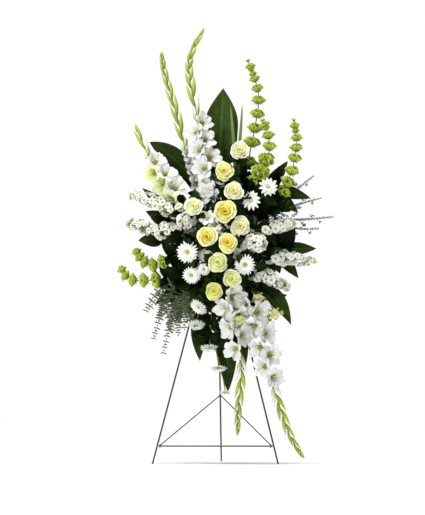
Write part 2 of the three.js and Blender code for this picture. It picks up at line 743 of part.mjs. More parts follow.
function stockWhorls({ node, run, radius, index }) {
  const draw = draws(index + 31);
  const ring = (share, tip, notch, odd, turn) => ringAlong(run, share, tip, notch, odd, turn, STOCK_COUNT);
  const whorls = Array.from({ length: STOCK_WHORLS }, (_, i) => ({
    share: (i + 0.3) / STOCK_WHORLS,
    radius: radius * lerp(1, 0.6, i / (STOCK_WHORLS - 1)) * (0.9 + 0.2 * draw()),
    turn: i * 0.3,
    odd: i % 2,
  }));
  const spike = (sizes) =>
    loft([
      ring(-0.03, STOCK_STEM + 1, STOCK_STEM + 1, 0, 0),
      ...whorls.flatMap(({ share, radius: r, turn, odd }, i) => [
        ring(share, r * sizes[i], r * sizes[i] * 0.7, odd, turn),
        ring(share + 0.05, r * sizes[i] * 0.52, r * sizes[i] * 0.48, odd, turn + 0.15),
      ]),
      [run.getPoint(1)],
    ]);
  putFitted(node, spike, whorls.map(({ share }) => run.getPoint(share)));
}

// Broad single leaves: foot, middle and tip of the midrib, and half the width
const BROAD_LEAVES = [
  { name: "leaf_top", run: [[1, 1019, 4], [20, 1203, -8], [25, 1349, 14]], half: 60 },
  { name: "leaf_top_left", run: [[-67, 1000, 2], [-157, 1117, -6], [-242, 1155, 12]], half: 40 },
  { name: "leaf_low_right", run: [[146, 635, 50], [225, 605, 52], [268, 492, 48]], half: 30 },
  { name: "leaf_low_left", run: [[-37, 586, 44], [-68, 477, 50], [-55, 364, 66]], half: 32 },
  { name: "leaf_low_middle", run: [[19, 556, 48], [47, 397, 62], [44, 252, 72]], half: 38 },
  { name: "leaf_low_inner", run: [[63, 556, 44], [95, 437, 54], [101, 328, 62]], half: 28 },
];
const BROAD_STALK = 2.4;
// Each row's share of the length, share of the half width, and thickness
const LEAF_ROWS = [[0.02, 0.06, 3], [0.16, 0.7, 2.4], [0.45, 1, 2.4], [0.78, 0.74, 2], [1, 0, 0]];
const SMALL_LEAF_ROWS = [[0, 0, 0], [0.3, 0.86, 2.4], [0.64, 0.9, 2], [1, 0, 0]];
const LEAF_FOLD = 0.16;

function leafBlade(points, half, faceSide, rows) {
  const sized = rows.map(([share, wide, thick]) => [share, half * wide, thick]);
  return blade(new THREE.QuadraticBezierCurve3(...points), faceSide, sized, LEAF_FOLD);
}

function broadLeafNode({ name, run, half, shift }) {
  const curve = new THREE.QuadraticBezierCurve3(...run.map((p) => place(...p)));
  const rows = () => LEAF_ROWS.map(([share, wide, thick]) => [share, half * wide, thick]);
  put(addNode(name, "leaf", 0.4), stalkedBlade(curve, FORWARD, BROAD_STALK, rows, LEAF_FOLD, { shift })());
}

// Sword leaves beside the broad leaf at the top
const SWORDS = {
  name: "sword_leaves",
  foot: [69, 1003, 6],
  tips: [
    [[66, 1147, 28], [52, 1283, 34]],
    [[87, 1150, 6], [94, 1288, 12]],
  ],
};
const SWORD_STALK = 1.9;
const SWORD_FOLD = 0.2;
// Each row's share of the length, half width and thickness
const SWORD_ROWS = [[0.02, 2.2, 2.4], [0.35, 6, 1.8], [0.7, 4.6, 1.6], [1, 0, 0]];

function swordNode({ name, foot, tips, shift }) {
  const node = addNode(name, "blade", 0.5);
  tips.forEach(([middle, tip], i) => {
    const curve = new THREE.QuadraticBezierCurve3(place(...foot), place(...middle), place(...tip));
    if (i) put(node, blade(curve, FORWARD, SWORD_ROWS, SWORD_FOLD));
    else put(node, stalkedBlade(curve, FORWARD, SWORD_STALK, () => SWORD_ROWS, SWORD_FOLD, { shift })());
  });
}

// Leafy branches: a stem through points, and leaves given by their foot's share of it, tip and half width
const BRANCHES = [
  {
    name: "salal_top",
    run: [[-26, 961, -14], [-37, 1022, -20], [-27, 1073, -22]],
    leaves: [
      [0.95, [-55, 1194, -16], 30], [0.6, [54, 1133, -20], 30],
      [0.4, [-118, 1064, -22], 28], [0.1, [74, 1031, -16], 26],
    ],
  },
  {
    name: "salal_left",
    run: [[-95, 879, 6], [-156, 880, 2], [-198, 796, 0]],
    leaves: [
      [0.3, [-267, 988, 16], 25], [0.95, [-281, 799, 12], 27], [0.5, [-256, 906, 0], 26],
      [0.7, [-166, 729, 0], 28], [0.12, [-156, 1001, 0], 28], [0.05, [-126, 769, 0], 26],
    ],
  },
  {
    name: "salal_right",
    run: [[95, 788, 6], [185, 773, 4], [256, 765, 8]],
    leaves: [
      [0.95, [358, 766, 14], 23], [0.7, [294, 661, 8], 26], [0.4, [209, 658, 0], 28],
      [0.55, [270, 860, -4], 27], [0.12, [135, 688, 4], 27], [0.15, [184, 879, -8], 28],
    ],
  },
  {
    name: "salal_upper_right",
    shift: [0, -30],
    run: [[81, 938, 4], [145, 973, 4], [230, 982, 8]],
    leaves: [
      [0.95, [339, 947, 16], 23], [0.7, [257, 1084, 0], 25], [0.35, [167, 1100, -6], 27],
      [0.8, [294, 898, -2], 26], [0.45, [215, 878, 2], 28], [0.05, [115, 1050, -4], 26],
    ],
  },
  {
    name: "salal_low_left",
    run: [[-75, 698, 10], [-114, 648, 14], [-144, 598, 20]],
    leaves: [
      [0.5, [-205, 688, 12], 25], [0.4, [-64, 557, 26], 26],
      [0.95, [-133, 498, 30], 24], [0.2, [-155, 759, 6], 26],
    ],
  },
  {
    name: "salal_low_right",
    run: [[83, 687, 14], [135, 617, 18], [171, 567, 22]],
    leaves: [
      [0.95, [171, 459, 30], 22], [0.5, [226, 607, 14], 25],
      [0.3, [105, 537, 28], 26], [0.15, [175, 697, 10], 25],
    ],
  },
];
const BRANCH_STEM = 1.9;

function branchNode({ name, run, leaves, shift }) {
  const curve = new THREE.QuadraticBezierCurve3(...run.map((p) => place(...p)));
  const beyond = curve.getPoints(3).slice(1);
  const node = addNode(name, "salal", 0.45);
  put(node, stem(curve.getPoint(0), curve.getTangent(0), BRANCH_STEM, { shift, bow: 0.3, beyond }).solid);
  return { node, curve, leaves };
}

function branchLeaves({ node, curve, leaves }) {
  for (const [share, end, half] of leaves) {
    const foot = curve.getPoint(share);
    grow(node, (size) => {
      const tip = mix(foot, place(...end), size);
      const middle = mix(foot, tip, 0.5).addScaledVector(FORWARD, 10);
      return leafBlade([foot, middle, tip], half * size, FORWARD, SMALL_LEAF_ROWS);
    });
  }
}

// Fine foliage: strands whose small leaves stand in pairs, each strand one saw-edged skin
const STRANDS = [
  {
    name: "eucalyptus_long",
    colour: "grey",
    root: [-108, 640, 66],
    ends: [
      [[-152, 540, 84], [-184, 388, 92]],
      [[-128, 560, 66], [-156, 462, 70]],
      [[-100, 560, 92], [-106, 500, 98]],
    ],
  },
  {
    name: "eucalyptus_left",
    colour: "grey",
    root: [-140, 650, 58],
    ends: [
      [[-190, 560, 70], [-220, 440, 74]],
      [[-215, 630, 56], [-250, 540, 58]],
    ],
  },
  {
    name: "twigs_right",
    colour: "leaf",
    root: [172, 874, 26],
    ends: [
      [[262, 965, 0], [350, 1026, 26]],
      [[280, 925, 34], [376, 945, 34]],
      [[300, 862, 40], [418, 878, 36]],
      [[280, 826, 26], [368, 838, 22]],
    ],
  },
];
const STRAND_STEM = 1.6;
const STRAND_FOLD = 0.1;
const PAIR = { half: 14, step: 29 };

function strandNode({ name, colour, root, ends, shift }) {
  const start = place(...root);
  const node = addNode(name, colour);
  ends.forEach(([middle, tip], k) => {
    const curve = new THREE.QuadraticBezierCurve3(start, place(...middle), place(...tip));
    const pairs = Math.floor(curve.getLength() / PAIR.step);
    const at = (i) => (i + 0.85) / pairs;
    const rows = (sizes) => [
      [0, STRAND_STEM, STRAND_STEM * 1.6],
      ...sizes.flatMap((size, i) => [
        [at(i - 0.4), STRAND_STEM, STRAND_STEM * 1.4],
        [at(i), Math.max(PAIR.half * size * (1 - (0.35 * i) / pairs), STRAND_STEM), 1.4],
      ]),
      [1, 0, 0],
    ];
    const stations = Array.from({ length: pairs }, (_, i) => curve.getPoint(at(i)));
    const bare = (sizes) => blade(curve, FORWARD, rows(sizes), STRAND_FOLD);
    const skin = k ? bare : stalkedBlade(curve, FORWARD, STRAND_STEM, rows, STRAND_FOLD, { shift });
    putFitted(node, skin, stations);
  });
}

// Stems and large blooms take their places first, then spikes, florets and leaves fill in.
const roses = ROSES.map(roseNode);
DAISIES.forEach(daisyNode);
const gladioli = GLADIOLI.map(gladiolusNode);
sprayNode();
const bellStems = BELLS.map(bellsNode);
const stocks = STOCKS.map(stockNode);
const branches = BRANCHES.map(branchNode);
BROAD_LEAVES.forEach(broadLeafNode);
swordNode(SWORDS);
stocks.forEach(stockWhorls);
gladioli.forEach(gladiolusFlorets);
gladioli.forEach(gladiolusBuds);
bellStems.forEach(bellWhorls);
STRANDS.forEach(strandNode);
branches.forEach(branchLeaves);
roses.forEach(roseLeaves);

// The holder: foam with a hole for each stem, the cage's tray and straps, and two cable ties
function box(size, middle) {
  const block = solidOf(new THREE.BoxGeometry(size.x, size.y, size.z));
  return moved(block, new THREE.Matrix4().setPosition(middle));
}

function foamNode() {
  const block = moved(box(FOAM, foamMiddle), holderMatrix);
  put(addNode("foam_block", "foam", 0.95), block.subtract(wasm.Manifold.union(holes)));
}

const tieHalf = (height) => legHalf(HOLDER_HEIGHT + height * Math.cos(LEAN)) + LEG_WIRE + TIE_CLEAR;

function tieSlot(height, side) {
  return box(v3(TIE_SLOT.x, PLATE * 3, TIE_SLOT.z), v3(side * tieHalf(height), -STAND_OFF, height));
}

function cageNode() {
  const wide = FOAM.x + 2 * SEAT + 2 * PLATE;
  const tall = FOAM.z + 2 * SEAT + 2 * PLATE;
  const deep = PLATE + TIE_GAP + RIM;
  const tray = box(v3(wide, deep, tall), v3(0, -STAND_OFF - deep / 2, 0));
  const inside = box(v3(FOAM.x + 2 * SEAT, deep, FOAM.z + 2 * SEAT), v3(0, -STAND_OFF - PLATE - deep / 2, 0));
  const strapDeep = TIE_GAP + FOAM.y + SEAT + PLATE;
  const straps = BAND_HEIGHTS.map((height) => {
    const outside = v3(wide, strapDeep + PLATE, BAND);
    const hollow = v3(FOAM.x + 2 * SEAT, strapDeep - PLATE, BAND * 2);
    const band = box(outside, v3(0, -STAND_OFF - outside.y / 2, height));
    return band.subtract(box(hollow, v3(0, -STAND_OFF - PLATE - hollow.y / 2, height)));
  });
  const ribs = RIB_HEIGHTS.map((height) => {
    const half = tieHalf(height) - RIB_INSET;
    const size = v3(half * 2, STAND_OFF - LEG_WIRE - SEAT + OVERLAP, TIE.z + 2 * RIB_MARGIN);
    return box(size, v3(0, -(STAND_OFF + LEG_WIRE + SEAT + OVERLAP) / 2, height));
  });
  const slots = TIE_HEIGHTS.flatMap((height) => [-1, 1].map((side) => tieSlot(height, side)));
  const ledges = [-1, 1].map((side) => {
    const size = v3(FOAM.x / 2, TIE_GAP - SEAT + OVERLAP, LEDGE.tall);
    return box(size, v3(0, -STAND_OFF - PLATE - (TIE_GAP - SEAT - OVERLAP) / 2, side * LEDGE.height));
  });
  const whole = wasm.Manifold.union([tray.subtract(inside), ...straps, ...ribs, ...ledges]);
  put(addNode("cage", "cage", 0.5), moved(whole.subtract(wasm.Manifold.union(slots)), holderMatrix));
}

function tieNode(height, index) {
  const half = tieHalf(height);
  const front = -STAND_OFF - PLATE - TIE.y - 1;
  const back = LEG_WIRE + TIE.y + SEAT;
  const middle = (front + back) / 2;
  const loop = box(v3(half * 2 + TIE.x, back - front, TIE.z), v3(0, middle, height));
  const hole = box(v3(half * 2 - TIE.x, back - front - 2 * TIE.y, TIE.z * 2), v3(0, middle, height));
  put(addNode(index ? "tie_upper" : "tie_lower", "tie", 0.5), moved(loop.subtract(hole), holderMatrix));
}

// The easel
function wire(points, radius) {
  return rod(points, radius, WIRE_SIDES);
}

// A wire's foot is cut level with the floor.
const BELOW_FLOOR = 12;
function cutLevel(solid) {
  return solid.trimByPlane([0, 0, 1], 0);
}

function frontLeg(side) {
  const at = (height) => v3(side * legHalf(height), planeY(height), height);
  const node = addNode(side < 0 ? "easel_leg_left" : "easel_leg_right", "wire", 0.4, 0.6);
  put(node, cutLevel(wire([at(-BELOW_FLOOR), at(LEG_TOP)], LEG_WIRE)));
}

const BAR_GAP = 1.2; // from a leg's side to the bar's end
function crossBar(name, height, inset) {
  const half = legHalf(height) - inset;
  const ends = [-half, half].map((x) => v3(x, planeY(height), height));
  put(addNode(name, "wire", 0.4, 0.6), wire(ends, BAR_WIRE));
}

// A closed eye of wire round a bar that runs along X.
function eye(middle, wireRadius) {
  const ring = new THREE.TorusGeometry(BAR_WIRE + RUN + wireRadius, wireRadius, 6, 10);
  return moved(solidOf(ring), new THREE.Matrix4().makeRotationY(Math.PI / 2).setPosition(middle));
}

const hinge = v3(0, planeY(HINGE_HEIGHT), HINGE_HEIGHT);
const backLegY = (height) => lerp(BACK_FOOT, hinge.y, height / HINGE_HEIGHT);

function backLeg() {
  const foot = v3(0, backLegY(-BELOW_FLOOR), -BELOW_FLOOR);
  const up = hinge.clone().sub(foot).normalize();
  const top = hinge.clone().addScaledVector(up, -(BAR_WIRE + RUN + LEG_WIRE));
  const node = addNode("easel_leg_back", "wire", 0.4, 0.6);
  put(node, cutLevel(wire([foot, top], LEG_WIRE)));
  put(node, eye(hinge, LEG_WIRE));
}

// The brace: one bent wire from eyes on the low bar, round behind the back leg.
const BRACE_INSET = 10; // from the front legs to the eyes
const BRACE_CLEAR = 1.2; // from the back leg's wire to the bend
const BEND_HALF = 9; // half width of the bend
function brace() {
  const bar = v3(0, planeY(BAR_HEIGHT), BAR_HEIGHT);
  const bend = v3(0, backLegY(BRACE_HEIGHT) + LEG_WIRE + BRACE_WIRE + BRACE_CLEAR, BRACE_HEIGHT);
  const half = legHalf(BAR_HEIGHT) - BRACE_INSET;
  const run = bend.clone().sub(bar);
  const start = bar.clone().addScaledVector(run.clone().normalize(), BAR_WIRE + RUN + BRACE_WIRE);
  const side = (s) => [
    start.clone().setX(s * half),
    mix(bend, bar, 0.035).setX(s * BEND_HALF),
    bend.clone().setX((s * BEND_HALF) / 3),
  ];
  const node = addNode("easel_brace", "wire", 0.4, 0.6);
  put(node, wire([...side(-1), ...side(1).reverse()], BRACE_WIRE));
  [-1, 1].forEach((s) => put(node, eye(bar.clone().setX(s * half), BRACE_WIRE)));
}

foamNode();
cageNode();
TIE_HEIGHTS.forEach(tieNode);
frontLeg(-1);
frontLeg(1);
crossBar("easel_bar_low", BAR_HEIGHT, LEG_WIRE + BAR_GAP);
crossBar("easel_bar_top", HINGE_HEIGHT, LEG_WIRE + BAR_GAP);
backLeg();
brace();

const spray = new THREE.Group();
spray.position.set(-BOX_MIDDLE.x, -BOX_MIDDLE.y, 0);
for (const { name, colour, roughness, metalness, parts } of nodes) {
  const material = new THREE.MeshStandardMaterial({ color: COLOURS[colour], roughness, metalness });
  const mesh = new THREE.Mesh(geometryOf(fuse(parts.map((part) => part.solid))), material);
  mesh.name = name;
  spray.add(mesh);
}

const standingSpray = new THREE.Group();
standingSpray.add(spray);
export default standingSpray;
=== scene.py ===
# The looks of a standing funeral spray: every stem, petal and leaf is a closed mesh on the body that
# carries it. Shapes are drawn in millimetres in the design's frame, as the CAD part is: x to the
# right of the easel's middle, y back from it, z up, and "out" forward of the foam's middle.
import math

import bpy
import numpy as np
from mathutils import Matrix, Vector


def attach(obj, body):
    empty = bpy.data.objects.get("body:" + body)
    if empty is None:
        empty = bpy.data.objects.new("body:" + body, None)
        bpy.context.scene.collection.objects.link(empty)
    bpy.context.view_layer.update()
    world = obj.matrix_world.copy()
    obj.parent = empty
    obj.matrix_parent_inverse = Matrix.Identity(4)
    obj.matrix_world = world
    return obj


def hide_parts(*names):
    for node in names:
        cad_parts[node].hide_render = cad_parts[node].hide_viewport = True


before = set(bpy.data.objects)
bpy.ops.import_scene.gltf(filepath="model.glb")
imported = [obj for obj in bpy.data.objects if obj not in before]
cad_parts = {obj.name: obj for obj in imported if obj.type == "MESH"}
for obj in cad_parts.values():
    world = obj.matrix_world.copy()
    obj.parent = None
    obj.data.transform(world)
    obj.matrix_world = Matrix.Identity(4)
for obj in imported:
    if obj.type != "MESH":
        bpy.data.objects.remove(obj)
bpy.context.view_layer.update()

BODY = "spray_and_frame"
MM_PER_METRE = 1000
FRAME_MIDDLE = np.array([35.5, 136.4, 0.0])
FOAM_Y = 83.66
FORWARD = np.array([0.0, -1.0, 0.0])
UP = np.array([0.0, 0.0, 1.0])
GOLDEN = math.radians(137.5)
# Added to a length before it divides, and how near to an axis a direction may be to be crossed with it
TINY = 1e-9
STEEP = 0.9
UPRIGHT = 0.98

# The holder that the stems go into, as in the CAD part
LEAN = math.radians(10)
HOLDER_HEIGHT = 790.0
HOLDER = np.array([0.0, HOLDER_HEIGHT * math.tan(LEAN), HOLDER_HEIGHT])
FOAM_HALF = np.array([51.0, 38.0, 114.5])
FOAM_BACK = -18.5
FOAM_MIDDLE = FOAM_BACK - FOAM_HALF[1]
RIM = 18
RIM_CLEAR = 8
BANDS = (-38, 38)
BAND_CLEAR = 10


def unit(v):
    v = np.asarray(v, float)
    return v / np.linalg.norm(v)


def mix(a, b, t):
    return np.asarray(a, float) * (1 - t) + np.asarray(b, float) * t


def place(x, z, out):
    return np.array([x, FOAM_Y - out, z], float)


def around(along, angle, level=None):
    """A direction square to a stem, turned round it from its cross product with the given one."""
    if level is None:
        level = FORWARD if abs(along[1]) < STEEP else UP
    side = unit(np.cross(along, level))
    return side * math.cos(angle) + np.cross(along, side) * math.sin(angle)


# Curves
def arch(foot, tip, lift):
    """The points of a curve that stands off the straight line by lift in its middle."""
    return foot, mix(foot, tip, 0.5) + lift, tip


def bezier(points, count):
    """Points along a quadratic curve."""
    a, b, c = (np.asarray(p, float) for p in points)
    t = np.linspace(0, 1, count)[:, None]
    return a * (1 - t) ** 2 + 2 * b * t * (1 - t) + c * t**2


def spline(points, count):
    """Points along a smooth curve through the given ones."""
    p = np.asarray(points, float)
    p = np.concatenate([[2 * p[0] - p[1]], p, [2 * p[-1] - p[-2]]])
    out = []
    for s in np.linspace(0, len(points) - 1, count):
        i = min(int(s), len(points) - 2)
        t = s - i
        a, b, c, d = p[i : i + 4]
        bend = (2 * a - 5 * b + 4 * c - d) * t**2
        twist = (3 * b - a - 3 * c + d) * t**3
        out.append(0.5 * (2 * b + (c - a) * t + bend + twist))
    return np.array(out)


def tangents(path):
    along = np.gradient(path, axis=0)
    return along / np.linalg.norm(along, axis=1, keepdims=True)


def at(path, share):
    """The point and direction at a share of a path's points."""
    s = min(max(share, 0.0), 1.0) * (len(path) - 1)
    i = min(int(s), len(path) - 2)
    return mix(path[i], path[i + 1], s - i), unit(path[i + 1] - path[i])


# Parts: points, four-cornered faces, which skin each face is on, and where each point lies on the
# part: along it from 0 to 1, and across it from -1 to 1.
def lies(along, across):
    return np.stack(np.meshgrid(along, across, indexing="ij"), -1).reshape(-1, 2)


def sheet(grid, thick):
    """A thin closed petal or leaf over rows of points, full in the middle and sharp at its rim."""
    rows, columns = grid.shape[:2]
    normal = np.cross(np.gradient(grid, axis=0), np.gradient(grid, axis=1))
    normal /= np.linalg.norm(normal, axis=2, keepdims=True) + TINY
    inner = np.zeros((rows, columns), bool)
    inner[1:-1, 1:-1] = True
    half = normal * inner[..., None] * thick / 2
    front = np.arange(rows * columns).reshape(rows, columns)
    back = front.copy()
    back[inner] = rows * columns + np.arange(inner.sum())
    points = np.concatenate([(grid + half).reshape(-1, 3), (grid - half)[inner]])
    upper, lower = (
        np.stack([g[:-1, :-1], g[1:, :-1], g[1:, 1:], g[:-1, 1:]], -1).reshape(-1, 4) for g in (front, back)
    )
    quads = np.concatenate([upper, lower[:, ::-1]])
    side = np.repeat([0, 1], len(upper))
    where = lies(np.linspace(0, 1, rows), np.linspace(-1, 1, columns))
    return points, quads, side, np.concatenate([where, where[inner.ravel()]])


def loft(rings):
    """A closed skin over rings with an even number of points."""
    count, sides = rings.shape[:2]
    index = np.arange(count * sides).reshape(count, sides)
    after = np.roll(index, -1, axis=1)
    wall = np.stack([index[:-1], after[:-1], after[1:], index[1:]], -1).reshape(-1, 4)
    fan = np.array([[0, j, j + 1, j + 2] for j in range(1, sides - 2, 2)])
    quads = np.concatenate([wall, index[0][fan][:, ::-1], index[-1][fan]])
    side = np.concatenate([np.zeros(len(wall), int), np.ones(2 * len(fan), int)])
    where = lies(np.linspace(0, 1, count), np.linspace(-1, 1, sides, endpoint=False))
    return rings.reshape(-1, 3), quads, side, where


def tube(path, radii, sides=6):
    """A round stem along a path, with a radius for each point or one for all."""
    path = np.asarray(path, float)
    along = tangents(path)
    radii = np.broadcast_to(np.asarray(radii, float), len(path))
    across = np.cross(along[0], UP if abs(along[0][2]) < STEEP else FORWARD)
    turns = np.arange(sides) * 2 * math.pi / sides
    rings = []
    for p, a, r in zip(path, along, radii):
        across = unit(across - a * (across @ a))
        up = np.cross(a, across)
        rings.append(p + r * (np.cos(turns)[:, None] * across + np.sin(turns)[:, None] * up))
    return loft(np.array(rings))


def spin(profile, sides):
    """A skin round +Z from pairs of radius and height."""
    turns = np.arange(sides) * 2 * math.pi / sides
    round_z = np.stack([np.cos(turns), np.sin(turns)], -1)
    return loft(np.array([np.column_stack([round_z * r, np.full(sides, z)]) for r, z in profile]))


def facing(point, direction, roll, size=1.0):
    """The matrix that carries a part drawn at the origin, facing +Z, to its place."""
    z = unit(direction)
    x = unit(np.cross(UP, z)) if abs(z[2]) < UPRIGHT else np.array([1.0, 0.0, 0.0])
    y = unit(np.cross(z, x))
    x = np.cross(y, z)
    m = np.eye(4)
    m[:3, 0] = (x * math.cos(roll) + y * math.sin(roll)) * size
    m[:3, 1] = (y * math.cos(roll) - x * math.sin(roll)) * size
    m[:3, 2] = z * size
    m[:3, 3] = point
    return m


def spun(angle):
    m = np.eye(4)
    m[0, :2] = math.cos(angle), -math.sin(angle)
    m[1, :2] = math.sin(angle), math.cos(angle)
    return m


def put_in_scene(name, data):
    made = bpy.data.objects.new(name, data)
    bpy.context.scene.collection.objects.link(made)
    return made


class Piece:
    """Gathers the parts of one piece and makes its mesh."""

    def __init__(self, node, slot):
        self.node, self.slot = node, slot
        self.parts, self.kinds, self.count = [], [], 0

    def add(self, part, kind, matrix=None, tint=0.5, deep=0.0):
        points = part[0] if matrix is None else part[0] @ matrix[:3, :3].T + matrix[:3, 3]
        if kind not in self.kinds:
            self.kinds.append(kind)
        quads = part[1] + self.count
        self.count += len(points)
        kinds = np.full(len(quads), self.kinds.index(kind))
        own = np.tile([tint, deep], (len(points), 1))
        self.parts.append((points, quads, kinds, part[2], part[3], own))

    def add_leaf(self, kind, rng, *where, **form):
        """Adds a leaf with a tint of its own."""
        self.add(leaf(*where, rng=rng, **form), kind, tint=rng.random())

    def make(self, replaced=True):
        points, quads, kind, side, where, own = (np.concatenate(values) for values in zip(*self.parts))
        points = (points - FRAME_MIDDLE) / MM_PER_METRE
        mesh = bpy.data.meshes.new(self.node + "_detail")
        mesh.from_pydata(points.tolist(), [], quads.tolist())
        mesh.polygons.foreach_set("material_index", kind.astype(np.int32))
        mesh.polygons.foreach_set("use_smooth", np.ones(len(quads), bool))
        # Edges where the two skins meet are sharp
        edges = np.empty(quads.size, np.int32)
        mesh.loops.foreach_get("edge_index", edges)
        low = np.full(len(mesh.edges), 2)
        high = np.zeros(len(mesh.edges), int)
        np.minimum.at(low, edges, np.repeat(side, 4))
        np.maximum.at(high, edges, np.repeat(side, 4))
        mesh.edges.foreach_set("use_edge_sharp", low != high)
        for name, values in zip(("Along", "Across", "Tint", "Deep"), (*where.T, *own.T)):
            mesh.attributes.new(name, "FLOAT", "POINT").data.foreach_set("value", values.astype(np.float32))
        for name in self.kinds:
            mesh.materials.append(MATERIALS[name])
        piece = put_in_scene(mesh.name, mesh)
        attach(piece, BODY)
        if replaced:
            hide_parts(self.node)


def pieces(rows, slot, seed):
    """For each row of a table: its number, its piece, random numbers of its own, and its other values."""
    for index, (name, *values) in enumerate(rows):
        piece = Piece(name, slot)
        yield index, piece, np.random.default_rng(seed + index), *values
        piece.make()


# Materials. All read where a point lies on the object, and a plant's nodes also where it lies on its
# petal or leaf.
MATERIALS = {}
STREAKS_ACROSS = 9.0
STREAKS_BY_TINT = 40.0
RELIEF = 0.5
PLANT_RELIEF_DEPTH = 0.0006
HARD_RELIEF_DEPTH = 0.0008
DULL_PATCH = (0.3, 0.32, 0.12)
DULL_TINT = (0.35, 0.38, 0.2)
SOFT_RADIUS = (1.0, 0.9, 0.5)
SOFT_SCALE = 0.004


class Tree:
    """One material's nodes."""

    def __init__(self, name):
        made = bpy.data.materials.new(name)
        made.use_nodes = True
        self.nodes, self.links = made.node_tree.nodes, made.node_tree.links
        self.shader = self.nodes["Principled BSDF"]
        MATERIALS[name] = made

    def put(self, kind, *values, settings=None, **named):
        node = self.nodes.new("ShaderNode" + kind)
        for key, value in (settings or {}).items():
            setattr(node, key, value)
        for key, value in [*enumerate(values), *named.items()]:
            self.set(node.inputs[key], value)
        return node

    def set(self, socket, value):
        if isinstance(value, bpy.types.NodeSocket):
            self.links.new(value, socket)
        else:
            socket.default_value = value

    def surface(self, values):
        for name, value in values.items():
            self.set(self.shader.inputs[name], value)

    def read(self, name):
        return self.put("Attribute", settings={"attribute_name": name}).outputs["Fac"]

    def math(self, operation, a, b=0.0):
        return self.put("Math", a, b, settings={"operation": operation}).outputs[0]

    def ramp(self, value, stops):
        """A colour for each value, from stops of a position and a colour each."""
        node = self.put("ValToRGB", value)
        elements = node.color_ramp.elements
        while len(elements) < len(stops):
            elements.new(0.5)
        for element, (position, *colour) in zip(elements, stops):
            element.position = position
            element.color = (*colour, 1)
        return node.outputs["Color"]

    def blend(self, share, a, b, how="MIX"):
        node = self.put("Mix", share, settings={"data_type": "RGBA", "blend_type": how})
        for socket, value in zip(node.inputs[6:8], (a, b)):
            self.set(socket, value if isinstance(value, bpy.types.NodeSocket) else (*value, 1))
        return node.outputs[2]

    def range(self, *values):
        """A value brought from one range, its first two numbers, to another, smoothly."""
        return self.put("MapRange", *values, settings={"interpolation_type": "SMOOTHSTEP"}).outputs[0]

    def noise(self, scale, detail, vector=None):
        if vector is None:
            vector = self.put("TexCoord").outputs["Object"]
        return self.put("TexNoise", Scale=scale, Detail=detail, Vector=vector).outputs["Fac"]

    def bump(self, height, strength, distance):
        return self.put("Bump", Strength=strength, Distance=distance, Height=height).outputs[0]


def plant(name, stops, rough=0.5, vary=0.2, soft=0.0, shade=None, mark=0.5, heart=None, pattern="streaks",
          lines=8.0, gloss=0.3):
    """A petal or leaf: a colour for each share of its length, another for the heart of the bloom,
    a tint of its own, and streaks or veins that run as the real ones do. On the white petals the
    grey streaks are painted shade."""
    tree = Tree(name)
    along, across, tint = tree.read("Along"), tree.read("Across"), tree.read("Tint")
    colour = tree.ramp(along, stops)
    # The heart colours are partly painted light: set light on the inner petals to lift the shade deep in the
    # bloom.
    if heart:
        colour = tree.blend(tree.read("Deep"), colour, tree.ramp(along, heart))
    wide = tree.math("ABSOLUTE", across)
    fine = tree.math("MULTIPLY", across, STREAKS_ACROSS)
    spread = tree.put("CombineXYZ", fine, along, tree.math("MULTIPLY", tint, STREAKS_BY_TINT))
    streak = tree.noise(1.6, 4.0, spread.outputs[0])
    if pattern == "streaks":
        relief = streak
        marks_and_painted_shade = tree.range(streak, 0.35, 0.7, 0.0, mark)
    else:
        if pattern == "veins":
            rise = tree.math("MULTIPLY", along, lines)
            phase = tree.math("SUBTRACT", rise, tree.math("MULTIPLY", wide, 1.6))
        else:
            phase = tree.math("MULTIPLY", wide, lines)
        ridge = tree.math("ABSOLUTE", tree.math("SUBTRACT", tree.math("FRACT", phase), 0.5))
        vein = tree.range(ridge, 0.38, 0.5, 0.0, 0.7)
        midrib = tree.range(wide, 0.1, 0.02, 0.0, 1.0)
        relief = tree.math("MAXIMUM", vein, midrib)
        marks_and_painted_shade = tree.math("MULTIPLY", relief, mark)
    # shade colours the streaks, veins or ribs; on the white petals the grey streaks are painted shade.
    if shade:
        colour = tree.blend(marks_and_painted_shade, colour, shade)
    patch = tree.noise(60.0, 2.0)
    colour = tree.blend(tree.range(patch, 0.35, 0.7, 0.0, vary), colour, DULL_PATCH, "MULTIPLY")
    colour = tree.blend(tree.range(tint, 0.0, 1.0, 0.0, vary), colour, DULL_TINT, "MULTIPLY")
    tree.surface({
        "Base Color": colour,
        "Roughness": tree.range(streak, 0.2, 0.8, rough - 0.07, rough + 0.07),
        "Normal": tree.bump(relief, RELIEF, PLANT_RELIEF_DEPTH),
        "Specular IOR Level": gloss,
    })
    if soft:
        tree.surface({
            "Subsurface Weight": soft,
            "Subsurface Radius": SOFT_RADIUS,
            "Subsurface Scale": SOFT_SCALE,
        })


def hard(name, colour, rough, grain, bump, worn=None):
    """Foam, moulded plastic or painted wire: one colour with fine grain."""
    tree = Tree(name)
    fine, wide = tree.noise(grain, 6.0), tree.noise(grain / 12, 2.0)
    shade = tree.blend(tree.range(wide, 0.35, 0.65, 0.0, 0.5), colour, [c * 0.55 for c in colour])
    if worn:
        shade = tree.blend(tree.range(fine, 0.62, 0.75, 0.0, 0.6), shade, worn)
    tree.surface({
        "Base Color": shade,
        "Roughness": tree.range(fine, 0.3, 0.7, rough - 0.1, rough + 0.1),
        "Normal": tree.bump(fine, bump, HARD_RELIEF_DEPTH),
    })
